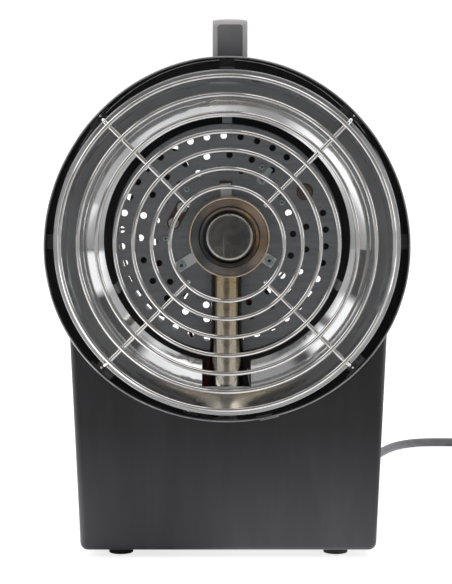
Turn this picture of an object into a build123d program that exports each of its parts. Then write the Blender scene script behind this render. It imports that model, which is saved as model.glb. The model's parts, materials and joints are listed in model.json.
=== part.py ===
from build123d import *
import os
from math import cos, radians, sin, tan

os.makedirs("parts", exist_ok=True)

# A portable fan-assisted bowl heater: a drum with a reflector, an emitter head on a stem and a wire
# guard, cradled in a tapered base. Millimetres. +X is the heater's right as its user faces it, -Y is
# its front, +Z is up. The origin is at the middle of its footprint, on the surface it stands on.

# ---------------------------------------------------------------- driving dimensions
axis_z = 262.0              # height of the drum's axis
depth_front = -100.0        # foremost point: the front of the guard's wires
depth_rear = 100.0          # rearmost point: the end of the cord gland

wire_d = 3.6                # guard wire
guard_y = depth_front + wire_d / 2
ring_first_r = 45.6
ring_pitch = 14.7
ring_count = 7
spoke_angles = (45, 135, 225, 315)
spoke_turn_r = 139.4        # where a spoke turns back through its slot in the reflector's flange

drum_r = 148.2              # mean outer radius of the rolled drum
drum_lobe = 1.5             # how far the rolled sheet is out of round, three lobes
drum_wall = 1.4
drum_front = guard_y + 18.0
drum_rear = 72.0

flange_r = 139.0            # reflector bowl
bowl_mouth_r = 133.0
bowl_front = guard_y + 5.5
bowl_arc_r = 78.8
bowl_sheet = 0.8
bowl_angle_front = 25.0     # slope of the bowl's wall against the drum's axis, at its mouth
bowl_angle_rear = 60.0      # and at its inner edge
notch_width = 40.0
notch_depth_r = 118.7

plate_r = 95.0              # perforated back plate
plate_front = guard_y + 58.0
plate_sheet = 1.0
plate_rear = plate_front + plate_sheet
plate_lip = 4.5
tab_angles = (0, 112.5, 246)
tab_width = 8.0
pattern_x = -2.8            # the hole pattern is punched a little off centre
pattern_z = axis_z + 0.3
plate_hole_d = 5.4

cup_x = 1.9                 # emitter head
cup_z = axis_z + 2.8
cup_r = 33.0
cup_wall = 1.8
cup_front = guard_y + 30.0
cup_rear = plate_front - 1.0
cap_r = 19.8
cap_face_r = 17.1
cap_front = guard_y + 32.6

stem_x = -0.5
stem_y = guard_y + 43.8
stem_d = 25.0
stem_wall = 1.2
stem_bottom = 72.0
stem_clearance = 0.4

base_x = 1.0                # tapered base
base_front = -68.2
base_rear = 68.0
base_bottom = 6.0
base_top = 194.8
base_half_bottom = 121.9
base_half_top = 130.4
base_wall = 2.5
base_edge_r = 5.0
saddle_gap = 0.3
wall_play = 0.4             # between the drum's wall and what is screwed flat against it
clip_play = 0.8
lug_play = 1.0
bracket_sheet = 1.4
floor_top = base_bottom + base_wall

foot_d = 20.0
foot_spread = 89.5
foot_front = -45.0
foot_rear = 55.0

handle_x = 2.4
handle_width = 28.5
handle_front = -58.0
handle_rear = 42.0
handle_top = 442.3
handle_bar = 8.0
handle_crown_r = 68.0       # the handle's top is slightly crowned across
inlay_width = 20.5
inlay_depth = 1.2
inlay_corner_r = 2.5

fan_r = 88.0
fan_blades = 5
fan_tilt = 20.0
fan_sheet = 1.4
fan_blade_half_angle = 23.0
fan_first_blade = 93.0      # clock angle of one blade at rest
hub_r = 16.0
hub_front = -20.0
hub_rear = 0.0
shaft_d = 5.0
motor_r = 30.0
motor_front = 5.0
motor_rear = 38.0
bracket_y = 20.0

knob_x = -50.0              # controls on the rear panel
controls_z = 72.0
rocker_x = 20.0
panel_sheet = 2.0
panel_front = base_rear - panel_sheet

cord_d = 8.8                # mains lead
gland_x = 105.0
gland_z = 40.0
coil_x = 307.0
coil_y = 367.0
coil_turn_in = 47.6         # radii of the coil's inner and outer turns
coil_turn_out = coil_turn_in + cord_d
plug_axis_z = 18.0
plug_r = 18.0


# ---------------------------------------------------------------- planes and outlines
drum_side = Plane(origin=(0, 0, axis_z), x_dir=(0, 1, 0), z_dir=(1, 0, 0))
drum_axis = Axis((0, 0, axis_z), (0, 1, 0))


def across(y, x=0, z=0):
    """A vertical plane at depth y, seen from the front: what is extruded from it comes forward."""
    return Plane(origin=(x, y, z), x_dir=(1, 0, 0), z_dir=(0, -1, 0))


def facing_back(y, x=0, z=0):
    """A vertical plane at depth y whose normal points to the rear."""
    return Plane(origin=(x, y, z), x_dir=(-1, 0, 0), z_dir=(0, 1, 0))


def facing_down(x, y, z):
    """A level plane whose normal points down."""
    return Plane(origin=(x, y, z), x_dir=(1, 0, 0), z_dir=(0, 0, -1))


def on_clock(radius, angle, centre_x=0.0, centre_z=axis_z):
    """X and Z of a point at a radius, at an angle clockwise from the top as seen from the front."""
    return (centre_x + radius * sin(radians(angle)), centre_z + radius * cos(radians(angle)))


def slice_at(angle):
    """The plane through the drum's axis at a clock angle: its X is outward, its Y is to the rear."""
    outward = (sin(radians(angle)), 0, cos(radians(angle)))
    normal = (-cos(radians(angle)), 0, sin(radians(angle)))
    return Plane(origin=(0, 0, axis_z), x_dir=outward, z_dir=normal)


def facing_axis(angle, radius, y):
    """A plane at a radius and a depth whose normal points at the drum's axis."""
    x, z = on_clock(radius, angle)
    inward = (-sin(radians(angle)), 0, -cos(radians(angle)))
    return Plane(origin=(x, y, z), x_dir=(0, 1, 0), z_dir=inward)


def drum_radius(angle):
    """Outer radius of the drum at a clock angle."""
    return drum_r + drum_lobe * cos(radians(3 * angle))


def drum_points(inset):
    """Points round the drum's outline, moved in from its outer face by the inset."""
    return [on_clock(drum_radius(angle) - inset, angle) for angle in range(0, 360, 15)]


def drum_solid(inset, y_front, y_rear):
    """A solid of the drum's outline between two depths."""
    with BuildPart() as blank:
        with BuildSketch(across(y_rear)):
            with BuildLine():
                Spline(*drum_points(inset), periodic=True)
            make_face()
        extrude(amount=y_rear - y_front)
    return blank.part


def base_solid(inset, y_front, y_rear):
    """A solid of the base's tapered outline between two depths."""
    rise = (base_half_top - base_half_bottom) / (base_top - base_bottom)
    low = base_half_bottom - inset + rise * inset
    high = base_half_top - inset
    with BuildPart() as blank:
        with BuildSketch(across(y_rear, base_x)):
            Polygon(
                (-low, base_bottom + inset),
                (low, base_bottom + inset),
                (high, base_top),
                (-high, base_top),
                align=None,
            )
        extrude(amount=y_rear - y_front)
    return blank.part


def pan_screw(head_d, head_h, shank_d, shank_length):
    """A pan-head screw: the head stands on its plane, the shank runs below it, cross recess on top."""
    recess = head_d * 0.55
    slot = head_d * 0.14
    with BuildPart() as screw:
        Cylinder(head_d / 2, head_h, align=(Align.CENTER, Align.CENTER, Align.MIN))
        fillet(screw.edges().group_by(Axis.Z)[-1], head_h * 0.45)
        Cylinder(shank_d / 2, shank_length, align=(Align.CENTER, Align.CENTER, Align.MAX))
        with Locations((0, 0, head_h)):
            Box(recess, slot, head_h, mode=Mode.SUBTRACT)
            Box(slot, recess, head_h, mode=Mode.SUBTRACT)
    return screw.part


def hex_screw(across_flats, head_h, shank_d, shank_length):
    """A hex-head screw with a round flange under the head."""
    with BuildPart() as screw:
        with BuildSketch():
            RegularPolygon(across_flats / 2, 6, major_radius=False)
        extrude(amount=head_h)
        Cylinder(across_flats * 0.62, head_h * 0.25, align=(Align.CENTER, Align.CENTER, Align.MIN))
        Cylinder(shank_d / 2, shank_length, align=(Align.CENTER, Align.CENTER, Align.MAX))
    return screw.part


small_screw = pan_screw(5.0, 1.6, 2.6, 5.0)
short_screw = pan_screw(5.0, 1.6, 2.6, 3.0)
panel_screw = pan_screw(7.0, 2.4, 3.5, 9.0)
ear_screw = hex_screw(6.6, 2.6, 3.5, 6.0)

# ---------------------------------------------------------------- drum shell
with BuildPart() as drum_shell:
    add(drum_solid(0, drum_front, drum_rear))
    add(drum_solid(drum_wall, drum_front - 1, drum_rear + 1), mode=Mode.SUBTRACT)
    with Locations((stem_x, stem_y, axis_z - drum_r)):
        Cylinder(stem_d / 2 + 1.5, 30, mode=Mode.SUBTRACT)
drum_shell.part.label = "drum_shell"
export_step(drum_shell.part, "parts/drum_shell.step")

# ---------------------------------------------------------------- strip behind the drum's lap joint
seam_angle = 168
seam_width = 13.0
seam_sheet = 1.2
seam_rivets = 5
seam_front = drum_front + 0.5
seam_rear = drum_rear - 12.0
with BuildPart() as drum_joint_strip:
    seam_length = seam_rear - seam_front
    seam_middle = (seam_front + seam_rear) / 2
    seam_r = drum_radius(seam_angle) - drum_wall - 0.3
    with Locations(facing_axis(seam_angle, seam_r, seam_middle)):
        Box(seam_length, seam_width, seam_sheet, align=(Align.CENTER, Align.CENTER, Align.MIN))
        with GridLocations(seam_length / seam_rivets, 1, seam_rivets, 1):
            Cylinder(2.5, seam_sheet + 0.8, align=(Align.CENTER, Align.CENTER, Align.MIN))
drum_joint_strip.part.label = "drum_joint_strip"
export_step(drum_joint_strip.part, "parts/drum_joint_strip.step")

# ---------------------------------------------------------------- reflector bowl
spoke_slot_width = 4.8
spoke_slot_length = 9.0
spoke_slot_reach = 3.4
arc_centre_y = bowl_front - bowl_arc_r * sin(radians(bowl_angle_front))
arc_centre_r = bowl_mouth_r - bowl_arc_r * cos(radians(bowl_angle_front))
bowl_inner_r = arc_centre_r + bowl_arc_r * cos(radians(bowl_angle_rear))
bowl_rear = arc_centre_y + bowl_arc_r * sin(radians(bowl_angle_rear))
with BuildPart() as reflector_bowl:
    with BuildSketch(drum_side):
        with BuildLine():
            first = 90 - bowl_angle_rear
            sweep_angle = bowl_angle_rear - bowl_angle_front
            middle = (arc_centre_y, arc_centre_r)
            front_face = CenterArc(middle, bowl_arc_r, first, sweep_angle)
            back_face = CenterArc(middle, bowl_arc_r + bowl_sheet, first, sweep_angle)
            Line(front_face @ 0, back_face @ 0)
            Line(front_face @ 1, back_face @ 1)
        make_face()
        with Locations((bowl_front, bowl_mouth_r)):
            Rectangle(bowl_sheet, flange_r - bowl_mouth_r, align=(Align.MIN, Align.MIN))
    revolve(axis=drum_axis)
    notch_reach = notch_depth_r - bowl_inner_r + 10
    with Locations((stem_x, (bowl_front + bowl_rear) / 2, axis_z - notch_depth_r)):
        notch_align = (Align.CENTER, Align.CENTER, Align.MIN)
        Box(notch_width, 60, notch_reach, align=notch_align, mode=Mode.SUBTRACT)
    for angle in spoke_angles:
        with BuildSketch(slice_at(angle)):
            with Locations((spoke_turn_r - spoke_slot_reach, bowl_front)):
                Rectangle(spoke_slot_length, 4.0, align=(Align.MIN, Align.CENTER))
        extrude(amount=spoke_slot_width / 2, both=True, mode=Mode.SUBTRACT)
reflector_bowl.part.label = "reflector_bowl"
export_step(reflector_bowl.part, "parts/reflector_bowl.step")

# ---------------------------------------------------------------- brackets behind the bowl's rim
bowl_bracket_angles = (0, 90, 192, 270)
with BuildPart() as bowl_brackets:
    for angle in bowl_bracket_angles:
        inner_wall = drum_radius(angle) - drum_wall - wall_play
        with BuildSketch(slice_at(angle)):
            with BuildLine():
                Polyline(
                    (bowl_mouth_r + 2.0, bowl_front + bowl_sheet + 0.1),
                    (inner_wall - 7.0, bowl_front + bowl_sheet + 0.1),
                    (inner_wall - 7.0, drum_front + 7.0),
                    (inner_wall, drum_front + 7.0),
                    (inner_wall, drum_front + 22.0),
                    (inner_wall - bracket_sheet, drum_front + 22.0),
                    (inner_wall - bracket_sheet, drum_front + 7.0 + bracket_sheet),
                    (inner_wall - 7.0 - bracket_sheet, drum_front + 7.0 + bracket_sheet),
                    (inner_wall - 7.0 - bracket_sheet, bowl_front + bowl_sheet + 0.1 + bracket_sheet),
                    (bowl_mouth_r + 2.0, bowl_front + bowl_sheet + 0.1 + bracket_sheet),
                    close=True,
                )
            make_face()
        extrude(amount=6.0, both=True)
bowl_brackets.part.label = "bowl_brackets"
export_step(bowl_brackets.part, "parts/bowl_brackets.step")

# ---------------------------------------------------------------- perforated back plate
# Each ring of holes: radius, number of holes, clock angle of the first, and the holes left out.
hole_rings = (
    (57.5, 20, -3.3, (2,)),
    (68.9, 23, 4.0, (3, 4)),
    (84.7, 38, 0.0, (5, 6, 7)),
)
sensor_x, sensor_z = on_clock(77.3, 60.2, pattern_x, pattern_z)
bushing_x = -40.7
bushing_z = axis_z + 19.4
bushing_pitch = 15.0
bushing_lean = 61.4         # the two bushings' line, anticlockwise from level
plate_slot_x = -1.0
plate_slot_z = axis_z + 44.0
plate_screw_places = (
    (-33.2, axis_z + 40.9),
    (28.8, axis_z + 59.2),
    (45.4, axis_z + 29.8),
    (-51.0, axis_z - 0.2),
)
ear_places = (
    (-37.7, axis_z - 22.2),
    (34.9, axis_z - 18.4),
)
with BuildPart() as back_plate:
    with BuildSketch(across(plate_rear)):
        with Locations((0, axis_z)):
            Circle(plate_r)
        for ring_r, holes, first, left_out in hole_rings:
            for index in range(holes):
                if index not in left_out:
                    place = on_clock(ring_r, first + index * 360 / holes, pattern_x, pattern_z)
                    with Locations(place):
                        Circle(plate_hole_d / 2, mode=Mode.SUBTRACT)
        with Locations((sensor_x, sensor_z)):
            Circle(7.0, mode=Mode.SUBTRACT)
        with Locations((bushing_x, bushing_z)):
            SlotCenterToCenter(bushing_pitch, 11.0, rotation=bushing_lean, mode=Mode.SUBTRACT)
        with Locations((plate_slot_x, plate_slot_z)):
            Rectangle(10.6, 8.0, mode=Mode.SUBTRACT)
    extrude(amount=plate_sheet)
    with BuildSketch(across(plate_rear + plate_lip)):
        with Locations((0, axis_z)):
            Circle(plate_r)
            Circle(plate_r - plate_sheet, mode=Mode.SUBTRACT)
    extrude(amount=plate_lip)
    for angle in tab_angles:
        with Locations(facing_axis(angle, plate_r + 3.0, plate_rear + plate_lip / 2)):
            lip_align = (Align.CENTER, Align.CENTER, Align.MIN)
            Box(plate_lip, tab_width + 1.0, 8.0, align=lip_align, mode=Mode.SUBTRACT)
    fillet(back_plate.edges().filter_by(GeomType.CIRCLE).sort_by(SortBy.LENGTH)[-1], 0.8)
back_plate.part.label = "back_plate"
export_step(back_plate.part, "parts/back_plate.step")

# ---------------------------------------------------------------- tabs from the bowl to the plate
tab_sheet = 1.0
tab_r = bowl_inner_r - 2.9
with BuildPart() as plate_brackets:
    for angle in tab_angles:
        with BuildSketch(slice_at(angle)):
            with BuildLine():
                Polyline(
                    (tab_r + 8.0, bowl_rear + 1.2),
                    (tab_r + 8.0, bowl_rear + 1.2 + tab_sheet),
                    (tab_r + tab_sheet, bowl_rear + 1.2 + tab_sheet),
                    (tab_r + tab_sheet, plate_rear + 0.2 + tab_sheet),
                    (tab_r - 11.0, plate_rear + 0.2 + tab_sheet),
                    (tab_r - 11.0, plate_rear + 0.2),
                    (tab_r, plate_rear + 0.2),
                    (tab_r, bowl_rear + 1.2),
                    close=True,
                )
            make_face()
        extrude(amount=tab_width / 2, both=True)
plate_brackets.part.label = "plate_brackets"
export_step(plate_brackets.part, "parts/plate_brackets.step")

# ---------------------------------------------------------------- small screws on the plate
with BuildPart() as plate_screws:
    for x, z in plate_screw_places:
        with Locations(across(plate_front, x, z)):
            add(small_screw)
plate_screws.part.label = "plate_screws"
export_step(plate_screws.part, "parts/plate_screws.step")

# ---------------------------------------------------------------- thermal cutout in the round hole
with BuildPart() as thermal_cutout:
    with BuildSketch(across(plate_rear + 7.0, sensor_x, sensor_z)):
        Circle(6.3)
    extrude(amount=8.6)
    fillet(thermal_cutout.edges().group_by(Axis.Y)[0], 0.8)
    for side in (-3.2, 3.2):
        with BuildSketch(across(plate_rear + 13.0, sensor_x + side, sensor_z)):
            Rectangle(0.8, 4.8)
        extrude(amount=7.0)
thermal_cutout.part.label = "thermal_cutout"
export_step(thermal_cutout.part, "parts/thermal_cutout.step")

# ---------------------------------------------------------------- plate that carries the bushings
bushing_r = 4.2
half_pitch_x = bushing_pitch / 2 * cos(radians(bushing_lean))
half_pitch_z = bushing_pitch / 2 * sin(radians(bushing_lean))
bushing_places = [(side * half_pitch_x, side * half_pitch_z) for side in (-1, 1)]
with BuildPart() as bushing_plate:
    with BuildSketch(across(plate_rear + 1.8, bushing_x, bushing_z)):
        SlotCenterToCenter(bushing_pitch + 8.0, 18.0, rotation=bushing_lean)
        with Locations(*bushing_places):
            Circle(bushing_r + 0.1, mode=Mode.SUBTRACT)
    extrude(amount=1.5)
bushing_plate.part.label = "bushing_plate"
export_step(bushing_plate.part, "parts/bushing_plate.step")

# ---------------------------------------------------------------- ceramic bushings of the element leads
with BuildPart() as ceramic_bushings:
    with BuildSketch(across(plate_rear + 9.0, bushing_x, bushing_z)):
        with Locations(*bushing_places):
            Circle(bushing_r)
            Circle(1.5, mode=Mode.SUBTRACT)
    extrude(amount=13.0)
    fillet(ceramic_bushings.edges().group_by(Axis.Y)[0], 0.6)
ceramic_bushings.part.label = "ceramic_bushings"
export_step(ceramic_bushings.part, "parts/ceramic_bushings.step")

# ---------------------------------------------------------------- earth tag
with BuildPart() as earth_tag:
    with BuildSketch(across(plate_front - 0.1, 29.4, axis_z + 49.6)):
        Circle(5.0)
        with Locations((4.0, 5.0)):
            Rectangle(4.4, 9.0, rotation=-38)
        Circle(2.6, mode=Mode.SUBTRACT)
    extrude(amount=0.9)
earth_tag.part.label = "earth_tag"
export_step(earth_tag.part, "parts/earth_tag.step")

# ---------------------------------------------------------------- emitter cup with its three ears
cup_side = Plane(origin=(cup_x, 0, cup_z), x_dir=(0, 1, 0), z_dir=(1, 0, 0))
cup_axis = Axis((cup_x, 0, cup_z), (0, 1, 0))
ear_width = 9.0
ear_sheet = 1.0
top_ear_z = axis_z + 41.0
with BuildPart() as emitter_cup:
    with BuildSketch(cup_side):
        with BuildLine():
            Polyline(
                (cup_rear, 0),
                (cup_rear, cup_r),
                (cup_front, cup_r),
                (cup_front, cup_r - cup_wall),
                (cup_rear - cup_wall, cup_r - cup_wall),
                (cup_rear - cup_wall, 0),
                close=True,
            )
        make_face()
    revolve(axis=cup_axis)
    fillet(emitter_cup.edges().group_by(Axis.Y)[0], 0.8)
    for x, z in ear_places + ((plate_slot_x, top_ear_z),):
        reach_x = x - cup_x
        reach_z = z - cup_z
        reach = (reach_x**2 + reach_z**2) ** 0.5
        outward = Plane(
            origin=(cup_x, cup_rear + ear_sheet - 0.2, cup_z),
            x_dir=(reach_x, 0, reach_z),
            z_dir=(0, -1, 0),
        )
        with BuildSketch(outward):
            with Locations((reach / 2 + 10, 0)):
                Rectangle(reach - 20 + ear_width, ear_width)
        extrude(amount=ear_sheet)
emitter_cup.part.label = "emitter_cup"
export_step(emitter_cup.part, "parts/emitter_cup.step")

# ---------------------------------------------------------------- dish between the cup's rim and its cap
dish_r = 22.0
with BuildPart() as emitter_dish:
    with BuildSketch(cup_side):
        with BuildLine():
            Polyline(
                (cup_front + 1.4, cup_r - cup_wall - 0.1),
                (cup_front + 6.4, dish_r + 2.2),
                (cup_front + 7.2, dish_r),
                (cup_front + 16.0, dish_r),
                (cup_front + 16.0, dish_r + 1.0),
                (cup_front + 8.2, dish_r + 1.0),
                (cup_front + 7.4, dish_r + 2.6),
                (cup_front + 2.8, cup_r - cup_wall - 0.1),
                close=True,
            )
        make_face()
    revolve(axis=cup_axis)
emitter_dish.part.label = "emitter_dish"
export_step(emitter_dish.part, "parts/emitter_dish.step")

# ---------------------------------------------------------------- round cap in the middle of the cup
with BuildPart() as emitter_cap:
    with BuildSketch(cup_side):
        with BuildLine():
            Polyline(
                (cap_front, 0),
                (cap_front, cap_r),
                (cap_front + 12.0, cap_r),
                (cap_front + 12.0, 8.0),
                (cup_rear - cup_wall - 0.1, 8.0),
                (cup_rear - cup_wall - 0.1, 0),
                close=True,
            )
        make_face()
    revolve(axis=cup_axis)
    fillet(emitter_cap.edges().group_by(Axis.Y)[0], cap_r - cap_face_r)
emitter_cap.part.label = "emitter_cap"
export_step(emitter_cap.part, "parts/emitter_cap.step")

# ---------------------------------------------------------------- ceramic core with a groove for the coil
coil_groove_r = 27.0
with BuildPart() as ceramic_core:
    with BuildSketch(cup_side):
        with Locations((cup_rear - cup_wall - 0.2, dish_r + 1.4)):
            Rectangle(15.0, cup_r - cup_wall - dish_r - 1.8, align=(Align.MAX, Align.MIN))
        with Locations((cup_rear - cup_wall - 10.0, coil_groove_r)):
            Circle(2.6, mode=Mode.SUBTRACT)
    revolve(axis=cup_axis)
ceramic_core.part.label = "ceramic_core"
export_step(ceramic_core.part, "parts/ceramic_core.step")

# ---------------------------------------------------------------- heating coil in the groove
with BuildPart() as heating_coil:
    with BuildSketch(cup_side):
        with Locations((cup_rear - cup_wall - 10.0, coil_groove_r)):
            Circle(2.3)
    revolve(axis=cup_axis)
heating_coil.part.label = "heating_coil"
export_step(heating_coil.part, "parts/heating_coil.step")

# ---------------------------------------------------------------- hex screws through the cup's ears
with BuildPart() as cup_screws:
    for x, z in ear_places:
        with Locations(across(cup_rear - 0.3, x, z)):
            add(ear_screw)
cup_screws.part.label = "cup_screws"
export_step(cup_screws.part, "parts/cup_screws.step")

# ---------------------------------------------------------------- stem tube
with BuildPart() as stem_tube:
    with BuildSketch(Plane.XY.offset(stem_bottom)):
        with Locations((stem_x, stem_y)):
            Circle(stem_d / 2)
            Circle(stem_d / 2 - stem_wall, mode=Mode.SUBTRACT)
    extrude(amount=cup_z - stem_bottom)
    with BuildSketch(across(0, cup_x, cup_z)):
        Circle(cup_r + 0.05)
    extrude(amount=100, mode=Mode.SUBTRACT)
stem_tube.part.label = "stem_tube"
export_step(stem_tube.part, "parts/stem_tube.step")

# ---------------------------------------------------------------- sleeve round the stem
sleeve_low = axis_z - 118.2
sleeve_high = axis_z - 78.6
with BuildPart() as stem_sleeve:
    with BuildSketch(Plane.XY.offset(sleeve_low)):
        with Locations((stem_x, stem_y)):
            Circle(stem_d / 2 + 1.2)
            Circle(stem_d / 2 + 0.1, mode=Mode.SUBTRACT)
    extrude(amount=sleeve_high - sleeve_low)
stem_sleeve.part.label = "stem_sleeve"
export_step(stem_sleeve.part, "parts/stem_sleeve.step")

# ---------------------------------------------------------------- socket that holds the stem in the base
socket_top = 104.0
with BuildPart() as stem_socket:
    socket_depth = stem_y + stem_d / 2 + 5.0 - (base_front + base_wall)
    with Locations((stem_x, base_front + base_wall, socket_top)):
        socket_align = (Align.CENTER, Align.MIN, Align.MAX)
        Box(44, socket_depth, socket_top - stem_bottom + 4.0, align=socket_align)
    fillet(stem_socket.edges().filter_by(Axis.Z).group_by(Axis.Y)[-1], 8.0)
    with Locations((stem_x, stem_y, stem_bottom)):
        bore_align = (Align.CENTER, Align.CENTER, Align.MIN)
        Cylinder(stem_d / 2 + 0.1, 60, align=bore_align, mode=Mode.SUBTRACT)
        Cylinder(stem_d / 2 - 2.5, 60, mode=Mode.SUBTRACT)
stem_socket.part.label = "stem_socket"
export_step(stem_socket.part, "parts/stem_socket.step")

# ---------------------------------------------------------------- wire guard: rings
with BuildPart() as guard_rings:
    with Locations(across(guard_y, 0, axis_z)):
        for index in range(ring_count):
            Torus(ring_first_r + index * ring_pitch, wire_d / 2)
guard_rings.part.label = "guard_rings"
export_step(guard_rings.part, "parts/guard_rings.step")

# ---------------------------------------------------------------- wire guard: spokes behind the rings
weld_bite = 0.4
spoke_y = guard_y + wire_d - weld_bite
spoke_start = ring_first_r - 3.2
spoke_end_y = drum_front + 9.0
with BuildPart() as guard_spokes:
    for angle in spoke_angles:
        with BuildLine(slice_at(angle)):
            wire = FilletPolyline(
                (spoke_start, spoke_y),
                (spoke_turn_r, spoke_y),
                (spoke_turn_r + 0.6, spoke_end_y),
                radius=5.0,
            )
        with BuildSketch(Plane(origin=wire @ 0, z_dir=wire % 0)):
            Circle(wire_d / 2)
        sweep(path=wire)
guard_spokes.part.label = "guard_spokes"
export_step(guard_spokes.part, "parts/guard_spokes.step")

# ---------------------------------------------------------------- clips that hold the spokes on the drum
clip_front = drum_front + 1.0
clip_depth = 12.0
lug_start = 3.8
lug_width = 8.0
clip_inner_r = spoke_turn_r - 3.0
with BuildPart() as guard_clips:
    for angle in spoke_angles:
        inner_wall = drum_radius(angle) - drum_wall - clip_play
        with Locations(facing_axis(angle, inner_wall, clip_front + clip_depth / 2)):
            Box(clip_depth, 18.0, 1.2, align=(Align.CENTER, Align.CENTER, Align.MIN))
            Box(clip_depth - 4.0, 8.0, inner_wall - clip_inner_r, align=(Align.CENTER, Align.CENTER, Align.MIN))
        with BuildSketch(slice_at(angle).offset(lug_start)):
            with Locations((inner_wall + clip_play - lug_play, clip_front)):
                Rectangle(8.0, 1.2, align=(Align.MAX, Align.MIN))
        extrude(amount=lug_width)
        with BuildLine(slice_at(angle)):
            bore_start = (spoke_turn_r + 0.3, drum_front - 9.0)
            bore_line = Line(bore_start, (spoke_turn_r + 0.6, spoke_end_y + 1.0))
        with BuildSketch(Plane(origin=bore_line @ 0, z_dir=bore_line % 0)):
            Circle(wire_d / 2 + 0.15)
        sweep(path=bore_line, mode=Mode.SUBTRACT)
guard_clips.part.label = "guard_clips"
export_step(guard_clips.part, "parts/guard_clips.step")

# ---------------------------------------------------------------- screws of bowl brackets and clips
with BuildPart() as front_screws:
    for angle in bowl_bracket_angles:
        inner_wall = drum_radius(angle) - drum_wall - wall_play
        with Locations(facing_axis(angle, inner_wall - bracket_sheet, drum_front + 15.5)):
            add(short_screw)
    for angle in spoke_angles:
        lug = slice_at(angle)
        lug_r = drum_radius(angle) - drum_wall - lug_play - 4.0
        seat = lug.origin + lug.x_dir * lug_r + lug.z_dir * (lug_start + lug_width / 2)
        with Locations(across(clip_front, seat.X, seat.Z)):
            add(short_screw)
front_screws.part.label = "front_screws"
export_step(front_screws.part, "parts/front_screws.step")

# ---------------------------------------------------------------- shroud round the fan
shroud_r = fan_r + 3.5
shroud_sheet = 1.2
shroud_front = -27.0
shroud_rear = 5.0
with BuildPart() as fan_shroud:
    add(drum_solid(drum_wall + wall_play, shroud_rear - shroud_sheet, shroud_rear))
    with BuildSketch(across(shroud_rear, 0, axis_z)):
        Circle(shroud_r + shroud_sheet)
    extrude(amount=shroud_rear - shroud_front)
    with BuildSketch(across(shroud_rear + 1.0, 0, axis_z)):
        Circle(shroud_r)
    extrude(amount=60.0, mode=Mode.SUBTRACT)
    with Locations(facing_axis(seam_angle, drum_r, shroud_rear)):
        Box(20, seam_width + 2.0, 14.0, mode=Mode.SUBTRACT)
fan_shroud.part.label = "fan_shroud"
export_step(fan_shroud.part, "parts/fan_shroud.step")

# ---------------------------------------------------------------- fan impeller
with BuildPart() as blade_blank:
    with BuildSketch():
        Circle(fan_r)
        blade_flare = 200 * tan(radians(fan_blade_half_angle))
        Polygon((0, 0), (200, blade_flare), (200, -blade_flare), align=None, mode=Mode.INTERSECT)
        Circle(hub_r - 3, mode=Mode.SUBTRACT)
    extrude(amount=fan_sheet / 2, both=True)
    tips = blade_blank.edges().filter_by(Axis.Z).sort_by(Axis.X)[-2:]
    fillet(tips, 8.0)
fan_blade = blade_blank.part.rotate(Axis.X, fan_tilt)
hub_middle = (hub_front + hub_rear) / 2
with BuildPart() as fan_impeller:
    with Locations(across(hub_middle, 0, axis_z)):
        with PolarLocations(0, fan_blades, start_angle=90 - fan_first_blade):
            add(fan_blade)
        Cylinder(hub_r, hub_rear - hub_front)
        Cylinder(shaft_d / 2 + 0.02, 40, mode=Mode.SUBTRACT)
fan_impeller.part.label = "fan_impeller"
export_step(fan_impeller.part, "parts/fan_impeller.step")

# ---------------------------------------------------------------- fan shaft
with BuildPart() as fan_shaft:
    with BuildSketch(across(motor_rear - 6.0, 0, axis_z)):
        Circle(shaft_d / 2)
    extrude(amount=motor_rear - 6.0 - (hub_front - 2.0))
fan_shaft.part.label = "fan_shaft"
export_step(fan_shaft.part, "parts/fan_shaft.step")

# ---------------------------------------------------------------- fan motor
motor_flange_r = 38.0
motor_screw_r = 34.0
motor_screw_angles = (27, 147, 267)
with BuildPart() as fan_motor:
    with BuildSketch(drum_side):
        with BuildLine():
            Polyline(
                (motor_front, 0),
                (motor_front, 8.0),
                (motor_front + 3.0, 8.0),
                (motor_front + 3.0, motor_r),
                (bracket_y - 2.2, motor_r),
                (bracket_y - 2.2, motor_flange_r),
                (bracket_y - 0.2, motor_flange_r),
                (bracket_y - 0.2, motor_r),
                (motor_rear, motor_r),
                (motor_rear, 0),
                close=True,
            )
        make_face()
    revolve(axis=drum_axis)
    fillet(fan_motor.edges().group_by(Axis.Y)[-1], 3.0)
    with BuildSketch(across(motor_rear - 4.0, 0, axis_z)):
        Circle(shaft_d / 2 + 0.08)
    extrude(amount=60, mode=Mode.SUBTRACT)
fan_motor.part.label = "fan_motor"
export_step(fan_motor.part, "parts/fan_motor.step")

# ---------------------------------------------------------------- three-armed motor bracket
arm_angles = (57, 177, 297)
arm_width = 14.0
with BuildPart() as motor_bracket:
    with BuildSketch(across(bracket_y + 1.6, 0, axis_z)):
        Circle(motor_flange_r + 5.0)
        for angle in arm_angles:
            reach = drum_radius(angle) - drum_wall - 0.4
            with Locations(on_clock(reach / 2, angle, 0, 0)):
                Rectangle(reach, arm_width, rotation=90 - angle)
        Circle(motor_r + 0.3, mode=Mode.SUBTRACT)
    extrude(amount=1.6)
    for angle in arm_angles:
        reach = drum_radius(angle) - drum_wall - 0.4
        with Locations(facing_axis(angle, reach, bracket_y + 9.0)):
            Box(18.0, arm_width, 1.6, align=(Align.CENTER, Align.CENTER, Align.MIN))
motor_bracket.part.label = "motor_bracket"
export_step(motor_bracket.part, "parts/motor_bracket.step")

# ---------------------------------------------------------------- motor screws
with BuildPart() as motor_screws:
    for angle in motor_screw_angles:
        x, z = on_clock(motor_screw_r, angle)
        with Locations(across(bracket_y - 2.2, x, z)):
            add(small_screw)
motor_screws.part.label = "motor_screws"
export_step(motor_screws.part, "parts/motor_screws.step")

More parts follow.
